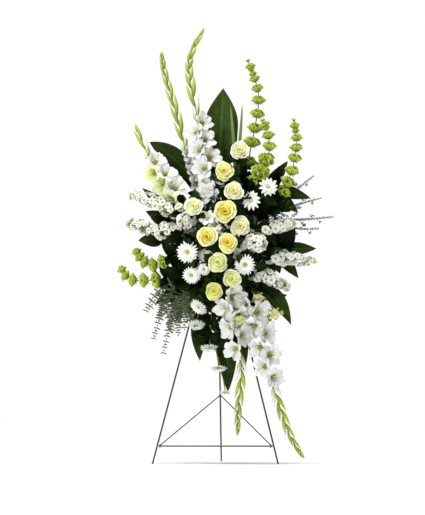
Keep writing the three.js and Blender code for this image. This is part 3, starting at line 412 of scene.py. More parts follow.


# A rose petal's colours from its foot to its tip, in the outer petals and in the heart. The heart's colours
# are the bloom's own golden heart, and are also set light as painted light that lifts the shade deep in the
# spiral.
OUTER_STOPS, HEART_STOPS = (0, 0.5, 0.82, 1), (0, 0.55, 0.85, 1)
ROSE_COLOURS = {
    "yellow": (
        ((0.5, 0.42, 0.03), (0.84, 0.76, 0.14), (0.94, 0.9, 0.34), (0.96, 0.95, 0.58)),
        ((0.46, 0.22, 0.006), (0.86, 0.6, 0.01), (0.96, 0.8, 0.04), (0.98, 0.87, 0.12)),
    ),
    "cream": (
        ((0.44, 0.46, 0.07), (0.82, 0.82, 0.36), (0.94, 0.94, 0.62), (0.97, 0.97, 0.82)),
        ((0.66, 0.62, 0.16), (0.92, 0.89, 0.34), (0.97, 0.95, 0.46), (0.98, 0.97, 0.6)),
    ),
    "lemon": (
        ((0.58, 0.54, 0.08), (0.88, 0.84, 0.22), (0.95, 0.92, 0.38), (0.97, 0.95, 0.58)),
        ((0.62, 0.52, 0.04), (0.93, 0.84, 0.13), (0.98, 0.92, 0.24), (0.99, 0.95, 0.36)),
    ),
    "lime": (
        ((0.3, 0.34, 0.02), (0.7, 0.74, 0.18), (0.87, 0.9, 0.42), (0.94, 0.96, 0.66)),
        ((0.56, 0.57, 0.12), (0.86, 0.86, 0.26), (0.93, 0.94, 0.38), (0.96, 0.97, 0.5)),
    ),
    "citron": (
        ((0.3, 0.34, 0.02), (0.62, 0.66, 0.08), (0.84, 0.87, 0.22), (0.93, 0.94, 0.44)),
        ((0.62, 0.57, 0.05), (0.9, 0.86, 0.13), (0.95, 0.93, 0.22), (0.97, 0.96, 0.34)),
    ),
}
for name, colours in ROSE_COLOURS.items():
    outer, heart = (
        [(s, *c) for s, c in zip(stops, row)] for stops, row in zip((OUTER_STOPS, HEART_STOPS), colours)
    )
    plant(name + "_petal", outer, vary=0.08, soft=0.25, heart=heart)

# Other petals, eyes, buds and stems: stops, roughness, how much the colour varies, and softness
plant("pale_lime",
      [(0, 0.24, 0.32, 0.03), (0.4, 0.46, 0.54, 0.12), (0.75, 0.72, 0.77, 0.36), (1, 0.84, 0.87, 0.56)],
      0.5, 0.1, 0.2, shade=(0.5, 0.56, 0.2))
# The white petals' grey streaks are painted shade for the shading in their folds; their green foot is the
# throat's own colour, and the darker inner half is partly painted shade.
plant("white_petal",
      [(0, 0.34, 0.42, 0.06), (0.3, 0.6, 0.65, 0.32), (0.55, 0.8, 0.8, 0.72), (1, 0.86, 0.86, 0.84)],
      0.5, 0.08, 0.2, shade=(0.56, 0.56, 0.54), mark=0.6)
plant("daisy_ray", [(0, 0.55, 0.62, 0.2), (0.3, 0.92, 0.93, 0.84), (1, 0.95, 0.95, 0.92)],
      0.5, 0.06, 0.15, shade=(0.78, 0.8, 0.72), mark=0.4)
plant("daisy_eye", [(0, 0.36, 0.4, 0.08), (1, 0.74, 0.74, 0.26)], 0.7, 0.3)
plant("pale_eye", [(0, 0.6, 0.6, 0.2), (1, 0.9, 0.86, 0.5)], 0.7, 0.2)
plant("stock_petal",
      [(0, 0.2, 0.24, 0.04), (0.35, 0.62, 0.64, 0.36), (0.65, 0.86, 0.86, 0.72), (1, 0.93, 0.93, 0.86)],
      0.55, 0.12, 0.15)
# The near-black low in the cup, at its foot and deep inside, is painted shade; the lime toward the rim is its
# own colour.
plant("bell_cup", [(0, 0.06, 0.1, 0.004), (0.5, 0.28, 0.38, 0.02), (1, 0.5, 0.62, 0.07)],
      0.5, 0.25, 0.1, shade=(0.6, 0.72, 0.16), mark=0.4, pattern="ribs", lines=5.0)
plant("green_bud", [(0, 0.2, 0.28, 0.02), (0.5, 0.42, 0.52, 0.07), (1, 0.56, 0.62, 0.16)],
      0.5, 0.25, shade=(0.26, 0.36, 0.04), pattern="ribs", lines=4.0)
plant("green_stem", [(0, 0.07, 0.13, 0.01), (1, 0.15, 0.24, 0.02)], 0.5, 0.3)

# Leaves, with the same values
plant("salal_leaf", [(0, 0.008, 0.02, 0.001), (0.5, 0.012, 0.03, 0.002), (1, 0.02, 0.048, 0.004)],
      0.42, 0.5, shade=(0.07, 0.12, 0.02), pattern="veins", gloss=0.07)
# A darker copy of the leaf colours, for the leaves deep in the spray: painted shade.
plant("painted_shade_leaf", [(0, 0.003, 0.008, 0.0005), (0.5, 0.005, 0.013, 0.001), (1, 0.009, 0.021, 0.002)],
      0.5, 0.5, shade=(0.03, 0.055, 0.008), pattern="veins", gloss=0.05)
plant("rose_leaf", [(0, 0.008, 0.018, 0.001), (1, 0.016, 0.036, 0.003)],
      0.48, 0.5, shade=(0.05, 0.09, 0.014), mark=0.4, pattern="veins", lines=9.0, gloss=0.07)
plant("broad_leaf", [(0, 0.016, 0.036, 0.002), (0.5, 0.034, 0.07, 0.009), (1, 0.03, 0.058, 0.007)],
      0.42, 0.35, shade=(0.13, 0.18, 0.05), pattern="ribs", lines=9.0, gloss=0.07)
plant("dark_leaf", [(0, 0.01, 0.024, 0.001), (0.5, 0.016, 0.036, 0.003), (1, 0.024, 0.052, 0.006)],
      0.42, 0.4, shade=(0.06, 0.105, 0.02), pattern="ribs", lines=9.0, gloss=0.07)
plant("sword_leaf", [(0, 0.09, 0.16, 0.02), (1, 0.17, 0.26, 0.05)],
      0.42, 0.2, shade=(0.28, 0.36, 0.12), pattern="ribs", lines=5.0)
plant("grey_leaf", [(0, 0.07, 0.085, 0.05), (1, 0.15, 0.17, 0.12)],
      0.6, 0.5, shade=(0.26, 0.29, 0.22), mark=0.4, pattern="veins", lines=6.0)
plant("twig_leaf", [(0, 0.025, 0.045, 0.012), (1, 0.05, 0.075, 0.025)],
      0.5, 0.4, shade=(0.12, 0.16, 0.07), mark=0.4, pattern="veins", lines=6.0)

# Colour, roughness, grain and relief
hard("foam_cells", (0.06, 0.2, 0.07), 0.95, 900.0, 0.9)
hard("cage_plastic", (0.03, 0.13, 0.05), 0.42, 300.0, 0.1)
hard("tie_plastic", (0.02, 0.05, 0.03), 0.4, 300.0, 0.1)
hard("wire_paint", (0.018, 0.028, 0.026), 0.38, 500.0, 0.15, worn=(0.05, 0.06, 0.055))


# Stems. They fan out from a short line in the foam, behind its middle, and go through its skin at a
# hole, SUNK behind it and straight for HOLE_OUT in front of it.
FOCUS_BACK = 16
FOCUS_HALF = 62
FOCUS_SHARE = 0.3
HOLE_SLANT = 0.45
HOLE_OUT = 12
SUNK = 32
STEM_POINTS = 9
MAIN_RADIUS, SIDE_RADIUS = 2.2, 1.8
# The holes that are moved along the foam, across and up, to clear another stem
SHIFTS = {
    "bells_top": (-2, 0),
    "gladiolus_low_right": (-11, 0),
    "salal_upper_right": (0, -30),
    "spray_roses": (0, 16),
    "stock_right_upper": (0, 9),
}


def tilt(p, angle):
    c, s = math.cos(angle), math.sin(angle)
    return np.array([p[0], p[1] * c - p[2] * s, p[1] * s + p[2] * c])


def stem_path(target, direction, shift, bow):
    """A stem's way: its end in the foam, then the curve from its hole to the target."""
    local = tilt(target - HOLDER, LEAN)
    focus = np.array([0, FOAM_MIDDLE + FOCUS_BACK, min(max(local[2] * FOCUS_SHARE, -FOCUS_HALF), FOCUS_HALF)])
    ray = local - focus
    reach = min(
        FOAM_HALF[0] / max(abs(ray[0]), 1e-3),
        (FOAM_HALF[1] + FOCUS_BACK) / max(-ray[1], 1e-3),
        (FOAM_HALF[2] - np.sign(ray[2]) * focus[2]) / max(abs(ray[2]), 1e-3),
        1,
    )
    hole = focus + ray * reach + [shift[0], 0, shift[1]]
    on_front = hole[1] < FOAM_MIDDLE - FOAM_HALF[1] + 1
    on_end = abs(hole[2]) > FOAM_HALF[2] - 1
    if not on_front:
        hole[1] = min(hole[1], FOAM_BACK - RIM - RIM_CLEAR)
    if not on_end:
        for band in BANDS:
            off = hole[2] - band
            if abs(off) < BAND_CLEAR:
                hole[2] = band + (-1 if off < 0 else 1) * BAND_CLEAR
    if on_front:
        normal = FORWARD
    elif on_end:
        normal = UP * np.sign(hole[2])
    else:
        normal = np.array([np.sign(hole[0]), 0, 0])
    out = unit(mix(unit(ray), normal, HOLE_SLANT))
    inner, outer = (HOLDER + tilt(hole + out * way, -LEAN) for way in (-SUNK, HOLE_OUT))
    control = target - unit(direction) * np.linalg.norm(target - outer) * bow
    return inner, bezier((outer, control, target), STEM_POINTS)


def stem(piece, target, direction, radius, bow=0.4, beyond=(), end=None, tint=0.5):
    """A stem from the foam to the target, and on through the points beyond it."""
    inner, curve = stem_path(target, direction, SHIFTS.get(piece.node, (0, 0)), bow)
    path = np.array([inner, *curve, *beyond])
    piece.add(tube(path, np.linspace(radius, end or radius, len(path))), "green_stem", tint=tint)
    return curve


def forked_stem(piece, seats, ways, bow, share, back):
    """A stem from the foam to the first bloom, with a side stem to each of the others."""
    main = stem(piece, seats[0], ways[0], MAIN_RADIUS, bow)
    fork, _ = at(main, share)
    for seat, way in zip(seats[1:], ways[1:]):
        piece.add(tube(bezier((fork, seat - way * back, seat), 8), SIDE_RADIUS), "green_stem")
    return main


# Leaves
NARROWEST = 0.4


def leaf(points, half, face, shape, rows=12, columns=5, fold=0.16, wave=0.0, teeth=0.0, thick=1.0, rng=None):
    """A leaf along a curve: shape gives its half width for each share of its length."""
    path = bezier(points, rows)
    share = np.linspace(0, 1, rows)
    along = tangents(path)
    across = np.cross(face, along)
    across /= np.linalg.norm(across, axis=1, keepdims=True) + TINY
    normal = np.cross(along, across)
    wide = np.maximum(np.array([shape(s) for s in share]) * half, NARROWEST)
    if teeth:
        wide[1:-1] *= 1 + teeth * (np.arange(rows - 2) % 2)
    v = np.linspace(-1, 1, columns)
    lift = fold * np.abs(v)
    grid = path[:, None] + v[None, :, None] * (across * wide[:, None])[:, None]
    grid = grid + (lift[None, :] * wide[:, None])[..., None] * normal[:, None]
    if wave:
        phase = rng.random() * 6
        swing = np.sin(share[:, None] * 9 + phase + np.sign(v)[None] * 1.2)
        ripple = wave * wide[:, None] * swing * np.abs(v)[None]
        grid = grid + ripple[..., None] * normal[:, None]
    return sheet(grid, thick)


def ovate(s):
    return math.sin(math.pi * s**0.72) ** 0.8 * (1 - 0.25 * s) * 1.12 if 0 < s < 1 else 0.0


def lance(s):
    return math.sin(math.pi * s**0.85) ** 0.9 if 0 < s < 1 else 0.0


def strap(s):
    return min(1.0, 0.35 + 2.2 * s) * (1 - s**3) ** 0.6 if s < 1 else 0.0


def broad(s):
    shoulder = math.sin(math.pi / 2 * min(1, (1 - s) / 0.44)) if s < 1 else 0.0
    return shoulder * math.sin(math.pi / 2 * min(1, s / 0.35)) ** 0.7


# A rose's leaf: its stalk's reach and rise, the side leaflets' reach, and half widths
STALK_REACH, STALK_RISE, SIDE_REACH = 66, 22, 34
TIP_HALF, SIDE_HALF = 17, 12


def put_rose_leaf(piece, foot, direction, along, size, rng):
    """A rose's leaf: a stalk with a leaflet at its tip and a pair below it."""
    tip = foot + direction * STALK_REACH * size + along * STALK_RISE
    stalk = bezier(arch(foot, tip, along * 9), 8)
    piece.add(tube(stalk[:6], 0.9, 4), "green_stem")
    tint = rng.random()
    base, start = stalk[3:5]
    blade = leaf(arch(start, tip, along * 2), TIP_HALF * size, along, ovate, wave=0.1, teeth=0.06, rng=rng)
    piece.add(blade, "rose_leaf", tint=tint)
    way = unit(tip - start)
    side = unit(np.cross(along, way))
    for s in (-1, 1):
        end = base + unit(side * s + way * 0.55) * SIDE_REACH * size - along * 2
        bent = arch(base, end, along * 3)
        piece.add_leaf("rose_leaf", rng, bent, SIDE_HALF * size, along, ovate, rows=10, wave=0.1, teeth=0.06)


def stem_leaves(piece, curve, shares, turn, length, half, kind, rng, shape=ovate):
    """Single leaves round a stem."""
    for i, share in enumerate(shares):
        foot, along = at(curve, share)
        out = around(along, turn + i * GOLDEN, UP)
        long = length * (0.85 + 0.3 * rng.random())
        tip = foot + out * long + along * long * 0.35
        piece.add_leaf(kind, rng, arch(foot, tip, along * long * 0.16), half, along, shape, wave=0.1)


def fan_leaves(piece, path, count, span, length, half, rng, forward=0.4):
    """Dark leaves that fan out from a stem and face the front, so that they close the view past it. Their
    darker colour is painted shade for the depth of the spray.
    """
    for i in range(count):
        foot, along = at(path, span[0] + (span[1] - span[0]) * i / count)
        angle = i * GOLDEN
        side = unit(np.cross(along, FORWARD))
        out = unit(side * math.cos(angle) + FORWARD * (forward + 0.45 * math.sin(angle)) + along * 0.4)
        tip = foot + out * (length[0] + (length[1] - length[0]) * rng.random())
        face = unit(FORWARD + rng.normal(0, 0.3, 3))
        bent = arch(foot, tip, FORWARD * 12)
        piece.add_leaf("painted_shade_leaf", rng, bent, half, face, ovate, rows=14, wave=0.08)


# The middle of the spray, which the blooms look away from
CORE_BACK = 30
CORE_LOW, CORE_HIGH = 720, 880


def outward(target, forward):
    core = np.array([0, FOAM_Y + CORE_BACK, min(max(target[2], CORE_LOW), CORE_HIGH)])
    return unit(mix(unit(target - core), FORWARD, forward))


# Blooms, drawn at the origin facing +Z, one unit in radius
def petal(profile, half, reach, rng, rows, columns, ruffle=0.0, pinch=0.0, lean=0.0, power=2.6):
    """A cupped petal on a cone: the profile's radius and height for its length, and the angle that
    it takes up round the bloom. A lower power makes its tip more pointed."""
    u = np.linspace(0, 1, rows)[:, None]
    v = np.linspace(-1, 1, columns)[None]
    far = u * (1 - reach * np.abs(v) ** power)
    a, b, c, d = np.asarray(profile, float)
    line = (a * ((1 - far) ** 3)[..., None] + 3 * b * (far * (1 - far) ** 2)[..., None]
            + 3 * c * (far**2 * (1 - far))[..., None] + d * (far**3)[..., None])
    radius, height = line[..., 0], line[..., 1]
    wide = 0.3 + 0.7 * np.sqrt(np.minimum(1, far / 0.55))
    angle = v * half * wide * (1 - pinch * far**3)
    radius = radius * (1 + lean * v)
    phase = rng.random(2) * 6
    wobble = ruffle * far**2 * (np.sin(v * 5 + phase[0]) * 0.6 + np.sin(v * 9 + phase[1]) * 0.4)
    return np.stack([radius * np.cos(angle), radius * np.sin(angle), height + wobble], -1)


def rose_bloom(rng, count, rows, columns):
    """Cupped petals in a spiral, from a tight heart to guard petals that roll back."""
    parts = []
    for i in range(count):
        t = (i + 0.5) / count
        wall = 0.05 + 0.6 * t**0.85 + rng.normal(0, 0.006 + 0.024 * t)
        top = 0.42 - 0.03 * t - 0.36 * t**2.2 + rng.normal(0, 0.035)
        roll = 0.1 + 0.29 * t**1.6 + rng.normal(0, 0.025)
        foot = (0.03 + 0.03 * t, -0.64)
        shape = [foot, (wall * 0.9 + 0.16 * t, -0.52), (wall + 0.05 * t, top + 0.1), (wall + roll, top)]
        half = 1.5 - 0.64 * t**0.7
        reach = 0.14 + 0.08 * t
        grid = petal(shape, half, reach, rng, rows, columns, ruffle=0.04 + 0.24 * t, lean=0.07, power=2.3)
        turn = i * GOLDEN + rng.normal(0, 0.12)
        parts.append((sheet(grid, 0.02), spun(turn), 1 - t))
    return parts


# Profiles of radius and height. The core is a solid that stands for the inner petals that fill the bloom just
# below its rims, the hip is below it, and the sepals stand round the hip.
ROSE_CORE = [
    (0.02, 0.04), (0.1, 0.14), (0.2, 0.19), (0.32, 0.16), (0.44, 0.08), (0.56, -0.06), (0.62, -0.22),
    (0.5, -0.5),
]
ROSE_HIP = [(0.03, -0.98), (0.12, -0.96), (0.2, -0.86), (0.2, -0.74), (0.12, -0.66), (0.02, -0.64)]
ROSE_SEPAL = [(0.1, -0.74), (0.3, -0.72), (0.55, -0.8), (0.72, -0.98)]


def put_rose(piece, point, direction, radius, kind, rng, count=24, rows=10, columns=9):
    base = facing(point, direction, rng.random() * 6, radius)
    piece.add(spin(ROSE_CORE, 16), kind, base, 0.5, 1.0)
    for part, turn, deep in rose_bloom(rng, count, rows, columns):
        piece.add(part, kind, base @ turn, rng.random(), min(1.0, max(0.0, deep * 2.6 - 1.1)))
    piece.add(spin(ROSE_HIP, 10), "green_stem", base)
    for i in range(5):
        sepal = petal(ROSE_SEPAL, 0.22, 0.1, rng, 6, 3)
        piece.add(sheet(sepal, 0.03), "green_stem", base @ spun(i * math.tau / 5 + 0.3), 0.9)


RAY_WIDTHS = np.array([0.35, 0.75, 0.95, 1.0, 0.78, 0.12])
RAY_FOOT = 0.08
# Rings of a daisy's rays from the outermost in: number, length, rise and droop
DENSE_RINGS = [(20, 1.0, 0.1, 0.08), (19, 0.93, 0.2, 0.06), (17, 0.8, 0.3, 0.05), (13, 0.6, 0.36, 0.04)]
LOOSE_RINGS = [(12, 1.0, 0.14, 0.04), (11, 0.84, 0.26, 0.02), (7, 0.5, 0.34, 0.0)]
# Each form's rings, half width of a ray, and its eye: kind, radius, height and number of beads
DENSE_DAISY = (DENSE_RINGS, 0.1, "daisy_eye", 0.17, 0.0, 44)
LOOSE_DAISY = (LOOSE_RINGS, 0.15, "pale_eye", 0.13, 0.1, 20)
EYE_DOME = [(0.7, -0.04), (1.0, 0.02), (1.06, 0.1), (0.8, 0.17), (0.4, 0.21), (0.08, 0.22)]
EYE_BEAD = [(0.012, -0.02), (0.028, 0.01), (0.02, 0.04), (0.006, 0.05)]
DAISY_CUP = [(0.05, -0.14), (0.16, -0.12), (0.25, -0.04), (0.22, 0.0), (0.03, 0.01)]


def ray(length, half, rise, droop, rng):
    """A daisy's strap petal, out from the eye."""
    u = np.linspace(0, 1, len(RAY_WIDTHS))[:, None]
    v = np.linspace(-1, 1, 3)[None]
    wide = half * RAY_WIDTHS[:, None]
    radius = RAY_FOOT + (length - RAY_FOOT) * (u - 0.03 * np.abs(v) * (u > 0.9))
    height = rise * np.sin(u * 1.5) - droop * u**2.2 + 0.02 * np.abs(v) + rng.normal(0, 0.006)
    return np.stack(np.broadcast_arrays(radius, v * wide, height), -1)


def put_daisy(piece, point, direction, radius, rng, loose):
    base = facing(point, direction, rng.random() * 6, radius)
    rings, half, eye, disc, height, beads = LOOSE_DAISY if loose else DENSE_DAISY
    for ring, (count, length, rise, droop) in enumerate(rings):
        for i in range(count):
            own = length * (0.92 + 0.12 * rng.random())
            grid = ray(own, half, rise + rng.normal(0, 0.02), droop + 0.03 * rng.random(), rng)
            turn = spun((i + 0.5 * ring + 0.3 * rng.random()) * math.tau / count)
            piece.add(sheet(grid, 0.02), "daisy_ray", base @ turn, rng.random())
    lift = np.eye(4)
    lift[2, 3] = height
    piece.add(spin(np.array(EYE_DOME) * (disc, 1), 14), eye, base @ lift, 0.8)
    bead = spin(EYE_BEAD, 6)
    for i in range(beads):
        r = disc * math.sqrt((i + 0.5) / beads)
        spot = lift.copy()
        spot[:3, 3] += (r * math.cos(i * GOLDEN), r * math.sin(i * GOLDEN), 0.21 - 1.6 * r**2)
        piece.add(bead, eye, base @ spot, rng.random())
    piece.add(spin(DAISY_CUP, 12), "green_stem", base)


BRACT = [(0.06, -1.02), (0.16, -0.9), (0.24, -0.6), (0.2, -0.22)]


def put_floret(piece, point, direction, radius, rng, roll, kind="white_petal"):
    """A gladiolus floret: a tube that flares into six ruffled tepals, in two rings of three."""
    base = facing(point, direction, roll, radius)
    wilt = rng.normal(0, 0.1, 6)
    for ring in (1, 0):
        for i in range(3):
            angle = math.pi / 2 + (i + 0.5 * ring) * math.tau / 3
            hood = 0.16 * math.sin(angle) + wilt[i + 3 * ring]
            tip = (1.06 - 0.06 * ring - 0.1 * hood, 0.12 - 0.14 * ring + hood * 0.8)
            shape = [(0.05, -0.92), (0.22, -0.5 + 0.03 * (1 - ring)), (0.4, 0.02 + hood), tip]
            grid = petal(shape, 0.86 - 0.06 * ring, 0.3, rng, 11, 9, ruffle=0.15, pinch=0.18, power=1.9)
            piece.add(sheet(grid, 0.018), kind, base @ spun(angle + rng.normal(0, 0.08)), rng.random())
    for i in range(3):
        spread = (i - 1) * 0.16
        path = bezier(((0, 0, -0.8), (spread * 0.4, 0.12, -0.3), (spread, 0.16, 0.02)), 5)
        piece.add(tube(path, 0.014, 4), "white_petal", base, 0.2)
        tip = path[-1]
        pollen = tube([tip - [0, 0.05, 0.01], tip, tip + [0, 0.05, 0.02]], [0.012, 0.026, 0.01], 4)
        piece.add(pollen, "pale_eye", base, rng.random())
    for s in (0, 1):
        bract = petal(BRACT, 0.9, 0.3, rng, 6, 5)
        piece.add(sheet(bract, 0.03), "green_bud", base @ spun(s * math.pi + 0.4), rng.random())


def bud(foot, tip, half, side, rows=7):
    """A plump pointed bud between two bracts."""
    path = bezier(arch(foot, tip, side * half * 0.3), rows)
    share = np.linspace(0, 1, rows)
    swell = np.sin(math.pi * np.clip(share * 0.92 + 0.06, 0, 1) ** 0.8) ** 0.8
    return tube(path, np.maximum(half * swell, 0.5), 6)


BELL_OUTSIDE = [(0.14, 0.0), (0.56, 0.1), (0.82, 0.36), (0.9, 0.74), (1.1, 1.0)]
BELL_INSIDE = [(1.06, 1.01), (0.84, 0.76), (0.7, 0.4), (0.3, 0.2), (0.03, 0.18)]
BELL_LIP = [(0.3, -0.4), (1.0, 0.2), (0.9, 0.9), (0.1, 1.2)]


def bell_part():
    """A shell-like green cup, open at the front, with a wavy rim."""
    points, quads, _, where = spin(BELL_OUTSIDE + BELL_INSIDE, 12)
    turns = np.arctan2(points[:, 1], points[:, 0])
    rim = np.clip((points[:, 2] - 0.5) * 2, 0, 1)
    points = points * (1 + 0.05 * rim * np.cos(5 * turns))[:, None]
    # Along runs from 0 at the cup's foot and inside bottom to 1 at its rim, which puts the painted shade deep
    # in the cup.
    where[:, 0] = np.clip(np.abs(where[:, 0] - 0.5) * -2 + 1, 0, 1)
    return points, quads, np.zeros(len(quads), int), where


BELL = bell_part()


def put_whorl(piece, point, along, radius, rng, count, turn, lift=0.9):
    """Bells in a ring round the stem, with narrow spines below and a pale flower in each."""
    for i in range(count):
        out = around(along, turn + i * math.tau / count + rng.normal(0, 0.08))
        direction = unit(out + along * (lift + 0.5 * rng.random()))
        size = radius * (0.4 + 0.06 * rng.random())
        depth = radius * (0.9 + 0.16 * rng.random())
        base = facing(point + out * 2, direction, rng.random() * 6)
        base[:3, :3] *= (size, size, depth)
        piece.add(BELL, "bell_cup", base, rng.random())
        lip = facing(point + out * 2 + direction * depth * 0.35, direction, 0, radius * 0.16)
        piece.add(spin(BELL_LIP, 6), "white_petal", lip, 0.3)
        spine_end = point + unit(out - along * 0.25) * radius * 0.8
        spine = arch(point + out * 1.5 - along * 2, spine_end, -along)
        piece.add(leaf(spine, 1.6, along, lance, rows=5, columns=3), "green_bud")


STOCK_FORMS = 5
# Rings of a stock floret's petals: number, length and rise
STOCK_RINGS = [(5, 1.0, 0.2), (5, 0.84, 0.48), (3, 0.46, 0.6)]


def stock_floret(rng):
    """A small double floret with crinkled petals."""
    parts = []
    for ring, (petals, length, rise) in enumerate(STOCK_RINGS):
        for i in range(petals):
            tip = (length * (0.9 + 0.2 * rng.random()), rise - 0.26 + 0.16 * rng.random())
            shape = [(0.05, -0.5), (0.1, -0.05), (length * 0.5, rise + 0.1), tip]
            grid = petal(shape, 0.66, 0.16, rng, 5, 5, ruffle=0.22)
            turn = (i + 0.5 * ring) * math.tau / petals + rng.random() * 0.4
            parts.append((sheet(grid, 0.03), spun(turn)))
    return parts


stock_rng = np.random.default_rng(7)
STOCK_FLORETS = [stock_floret(stock_rng) for _ in range(STOCK_FORMS)]


def put_stock_floret(piece, point, direction, radius, rng):
    base = facing(point, direction, rng.random() * 6, radius)
    for part, turn in STOCK_FLORETS[rng.integers(STOCK_FORMS)]:
        piece.add(part, "stock_petal", base @ turn, rng.random())


# Where everything stands, as in the CAD part. Each rose's place, radius, colour, and how far it is
# turned to the front
ROSES = [
    ("rose_top", (90, 1109, 118), 36, "cream", 0.75),
    ("rose_upper_yellow", (37, 1032, 150), 37, "lemon", 0.8),
    ("rose_upper_cream", (70, 959, 168), 36, "cream", 0.8),
    ("rose_heart", (39, 885, 186), 44, "yellow", 0.85),
    ("rose_right_cream", (94, 834, 164), 37, "cream", 0.8),
    ("rose_left_gold", (-23, 793, 190), 39, "yellow", 0.85),
    ("rose_mid_gold", (51, 773, 196), 39, "yellow", 0.85),
    ("rose_left_cream", (-71, 904, 158), 37, "cream", 0.75),
    ("rose_lower_cream", (16, 706, 182), 38, "lime", 0.8),
    ("rose_low_right", (64, 647, 168), 35, "lime", 0.8),
    ("rose_low_left", (1, 606, 160), 35, "citron", 0.75),
]
YELLOWS = ("yellow", "lemon", "citron")
ROSE_LEAVES = (0.3, 0.52, 0.72, 0.42, 0.63, 0.82, 0.92)

for index, piece, rng, spot, radius, colour, forward in pieces(ROSES, "rose_cream", 100):
    if colour in YELLOWS:
        piece.slot = "rose_yellow"
    target = place(*spot)
    direction = outward(target, forward)
    curve = stem(piece, target - direction * radius * 0.9, direction, 2.8)
    put_rose(piece, target, direction, radius, colour + "_petal", rng)
    for i, share in enumerate(ROSE_LEAVES):
        foot, along = at(curve, share)
        out = around(along, index * 1.3 + i * 2.4, UP)
        put_rose_leaf(piece, foot, out, along, 0.95 if i < 3 else 0.85, rng)
    # The leaves round each rose stem take the darker leaf colour, which is painted shade.
    stem_leaves(piece, curve, (0.5, 0.62, 0.74, 0.86), index * 0.9, 64, 22, "painted_shade_leaf", rng)
    stem_leaves(piece, curve, (0.08, 0.18, 0.28, 0.38, 0.46), index * 0.7, 84, 27, "painted_shade_leaf", rng)

# Whether each stem's daisies are loose, and each bloom's place, radius and, where it isn't simply
# outward, its direction
DAISIES = [
    ("daisies_upper_right", True, [((190, 978, 112), 37, None), ((128, 928, 128), 37, None)]),
    ("daisies_left", False, [((-94, 745, 146), 42, None), ((-80, 665, 138), 36, (0, -1, -0.5))]),
    ("daisy_right", False, [((109, 699, 150), 40, None)]),
    ("daisies_low_left", False, [
        ((-56, 554, 120), 36, (-0.55, -0.7, -0.75)), ((-65, 492, 102), 33, (0, -0.6, -1)),
    ]),
    ("daisies_hanging", False, [
        ((-19, 411, 108), 36, (0, -0.35, -1)), ((13, 339, 112), 32, (0, -0.3, -1)),
        ((36, 253, 108), 22, (0, -0.4, -1)),
    ]),
]
# Smaller blooms on the same stems, deep among the roses
SHADED_DAISIES = {
    "daisies_left": [((-32, 737, 122), 30, None), ((-36, 683, 150), 24, (0.2, -1, 0.1))],
    "daisy_right": [((62, 737, 126), 30, None)],
}

for index, piece, rng, loose, blooms in pieces(DAISIES, "white_petals", 200):
    blooms = blooms + SHADED_DAISIES.get(piece.node, [])
    targets = [place(*spot) for spot, _, _ in blooms]
    facings = [unit(tip) if tip else outward(t, 0.7) for t, (_, _, tip) in zip(targets, blooms)]
    seats = [t - d * r * 0.12 for t, d, (_, r, _) in zip(targets, facings, blooms)]
    bow, share = (0.25 if len(blooms) > 1 else 0.4), (0.62 if len(blooms) > 2 else 0.45)
    main = forked_stem(piece, seats, facings, bow, share, 30)
    stem_leaves(piece, main, (0.35, 0.5, 0.62, 0.75, 0.86), index * 1.1, 58, 16, "rose_leaf", rng, lance)
    span = (0.3, 0.94) if piece.node == "daisies_hanging" else (0.2, 0.66)
    fan_leaves(piece, main, 10, span, (52, 84), 21, rng, -0.2)
    for target, direction, (_, radius, _) in zip(targets, facings, blooms):
        put_daisy(piece, target, direction, radius, rng, loose)

# The share of each spine that its open florets take, their number and radius, and the spine's points
GLADIOLI = [
    ("gladiolus_top", (0.385, 8, 46), [
        (-4, 953, 62), (-39, 1096, 76), (-63, 1228, 80), (-91, 1373, 76), (-91, 1459, 70), (-41, 1561, 64),
    ]),
    ("gladiolus_top_left", (0.27, 4, 38), [
        (-75, 981, 34), (-100, 1077, 30), (-124, 1182, 26), (-159, 1310, 24), (-191, 1420, 22),
        (-197, 1484, 20),
    ]),
    ("gladiolus_left", (0.55, 6, 46), [
        (-129, 933, 62), (-177, 1004, 58), (-224, 1067, 52), (-259, 1138, 46), (-291, 1217, 40),
    ]),
    ("gladiolus_low", (0.5, 6, 49), [
        (48, 602, 104), (66, 523, 112), (83, 435, 108), (93, 318, 100), (82, 194, 94), (78, 100, 90),
    ]),
    ("gladiolus_low_right", (0.52, 8, 47), [
        (114, 591, 84), (146, 494, 98), (179, 396, 104), (198, 299, 104), (231, 194, 98),
        (267, 93, 92), (315, 20, 88),
    ]),
]
LIME_FLORETS = {"gladiolus_left": (0, 2, 4)}
# Which side the first floret opens to
FIRST_SIDE = {"gladiolus_low_right": -1, "gladiolus_top_left": -1}
# Florets below the spine's first point: shares of the stem's curve, and their radius
LOW_FLORETS = {"gladiolus_top": ((0.96, 0.72, 0.46), 42)}
SPINE_POINTS = 41
BUD_STEP = 25.0
BUD_REACH = (19, 4)
BUD_HALF = (7.2, 3.4)
WHITE_BUDS = 2


def put_buds(piece, run, opened, rng):
    """The green tip of a gladiolus: sheathed buds in two rows, the first ones showing white."""
    green_from = opened - 0.01
    green = run[int(green_from * len(run)) :]
    count = int(np.linalg.norm(np.diff(green, axis=0), axis=1).sum() / BUD_STEP)
    for i in range(count):
        t = i / count
        share = green_from + (1 - green_from) * t
        spot, along = at(run, share)
        aside = unit(np.cross(along, FORWARD)) * (1 if i % 2 else -1)
        end_share = min(share + (1 - green_from) * 2.4 / count, 1.0)
        goal, _ = at(run, end_share)
        tip = goal + aside * mix(*BUD_REACH, t) + FORWARD * 3
        if end_share == 1.0:
            tip = mix(tip, run[-1], 0.8)
        foot = spot + aside * 1.5
        kind, covered = ("white_petal", 0.62) if i < WHITE_BUDS else ("green_bud", 0.88)
        piece.add(bud(foot, tip, mix(*BUD_HALF, t), aside), kind, tint=rng.random())
        cover = mix(foot, tip, covered) + aside * 1.5
        face = unit(aside * 0.8 + FORWARD)
        sheath = (foot - along * 6, mix(foot, cover, 0.5) + aside * 4, cover)
        piece.add_leaf("green_bud", rng, sheath, 10 - 6 * t, face, lance, rows=8, fold=-0.4)


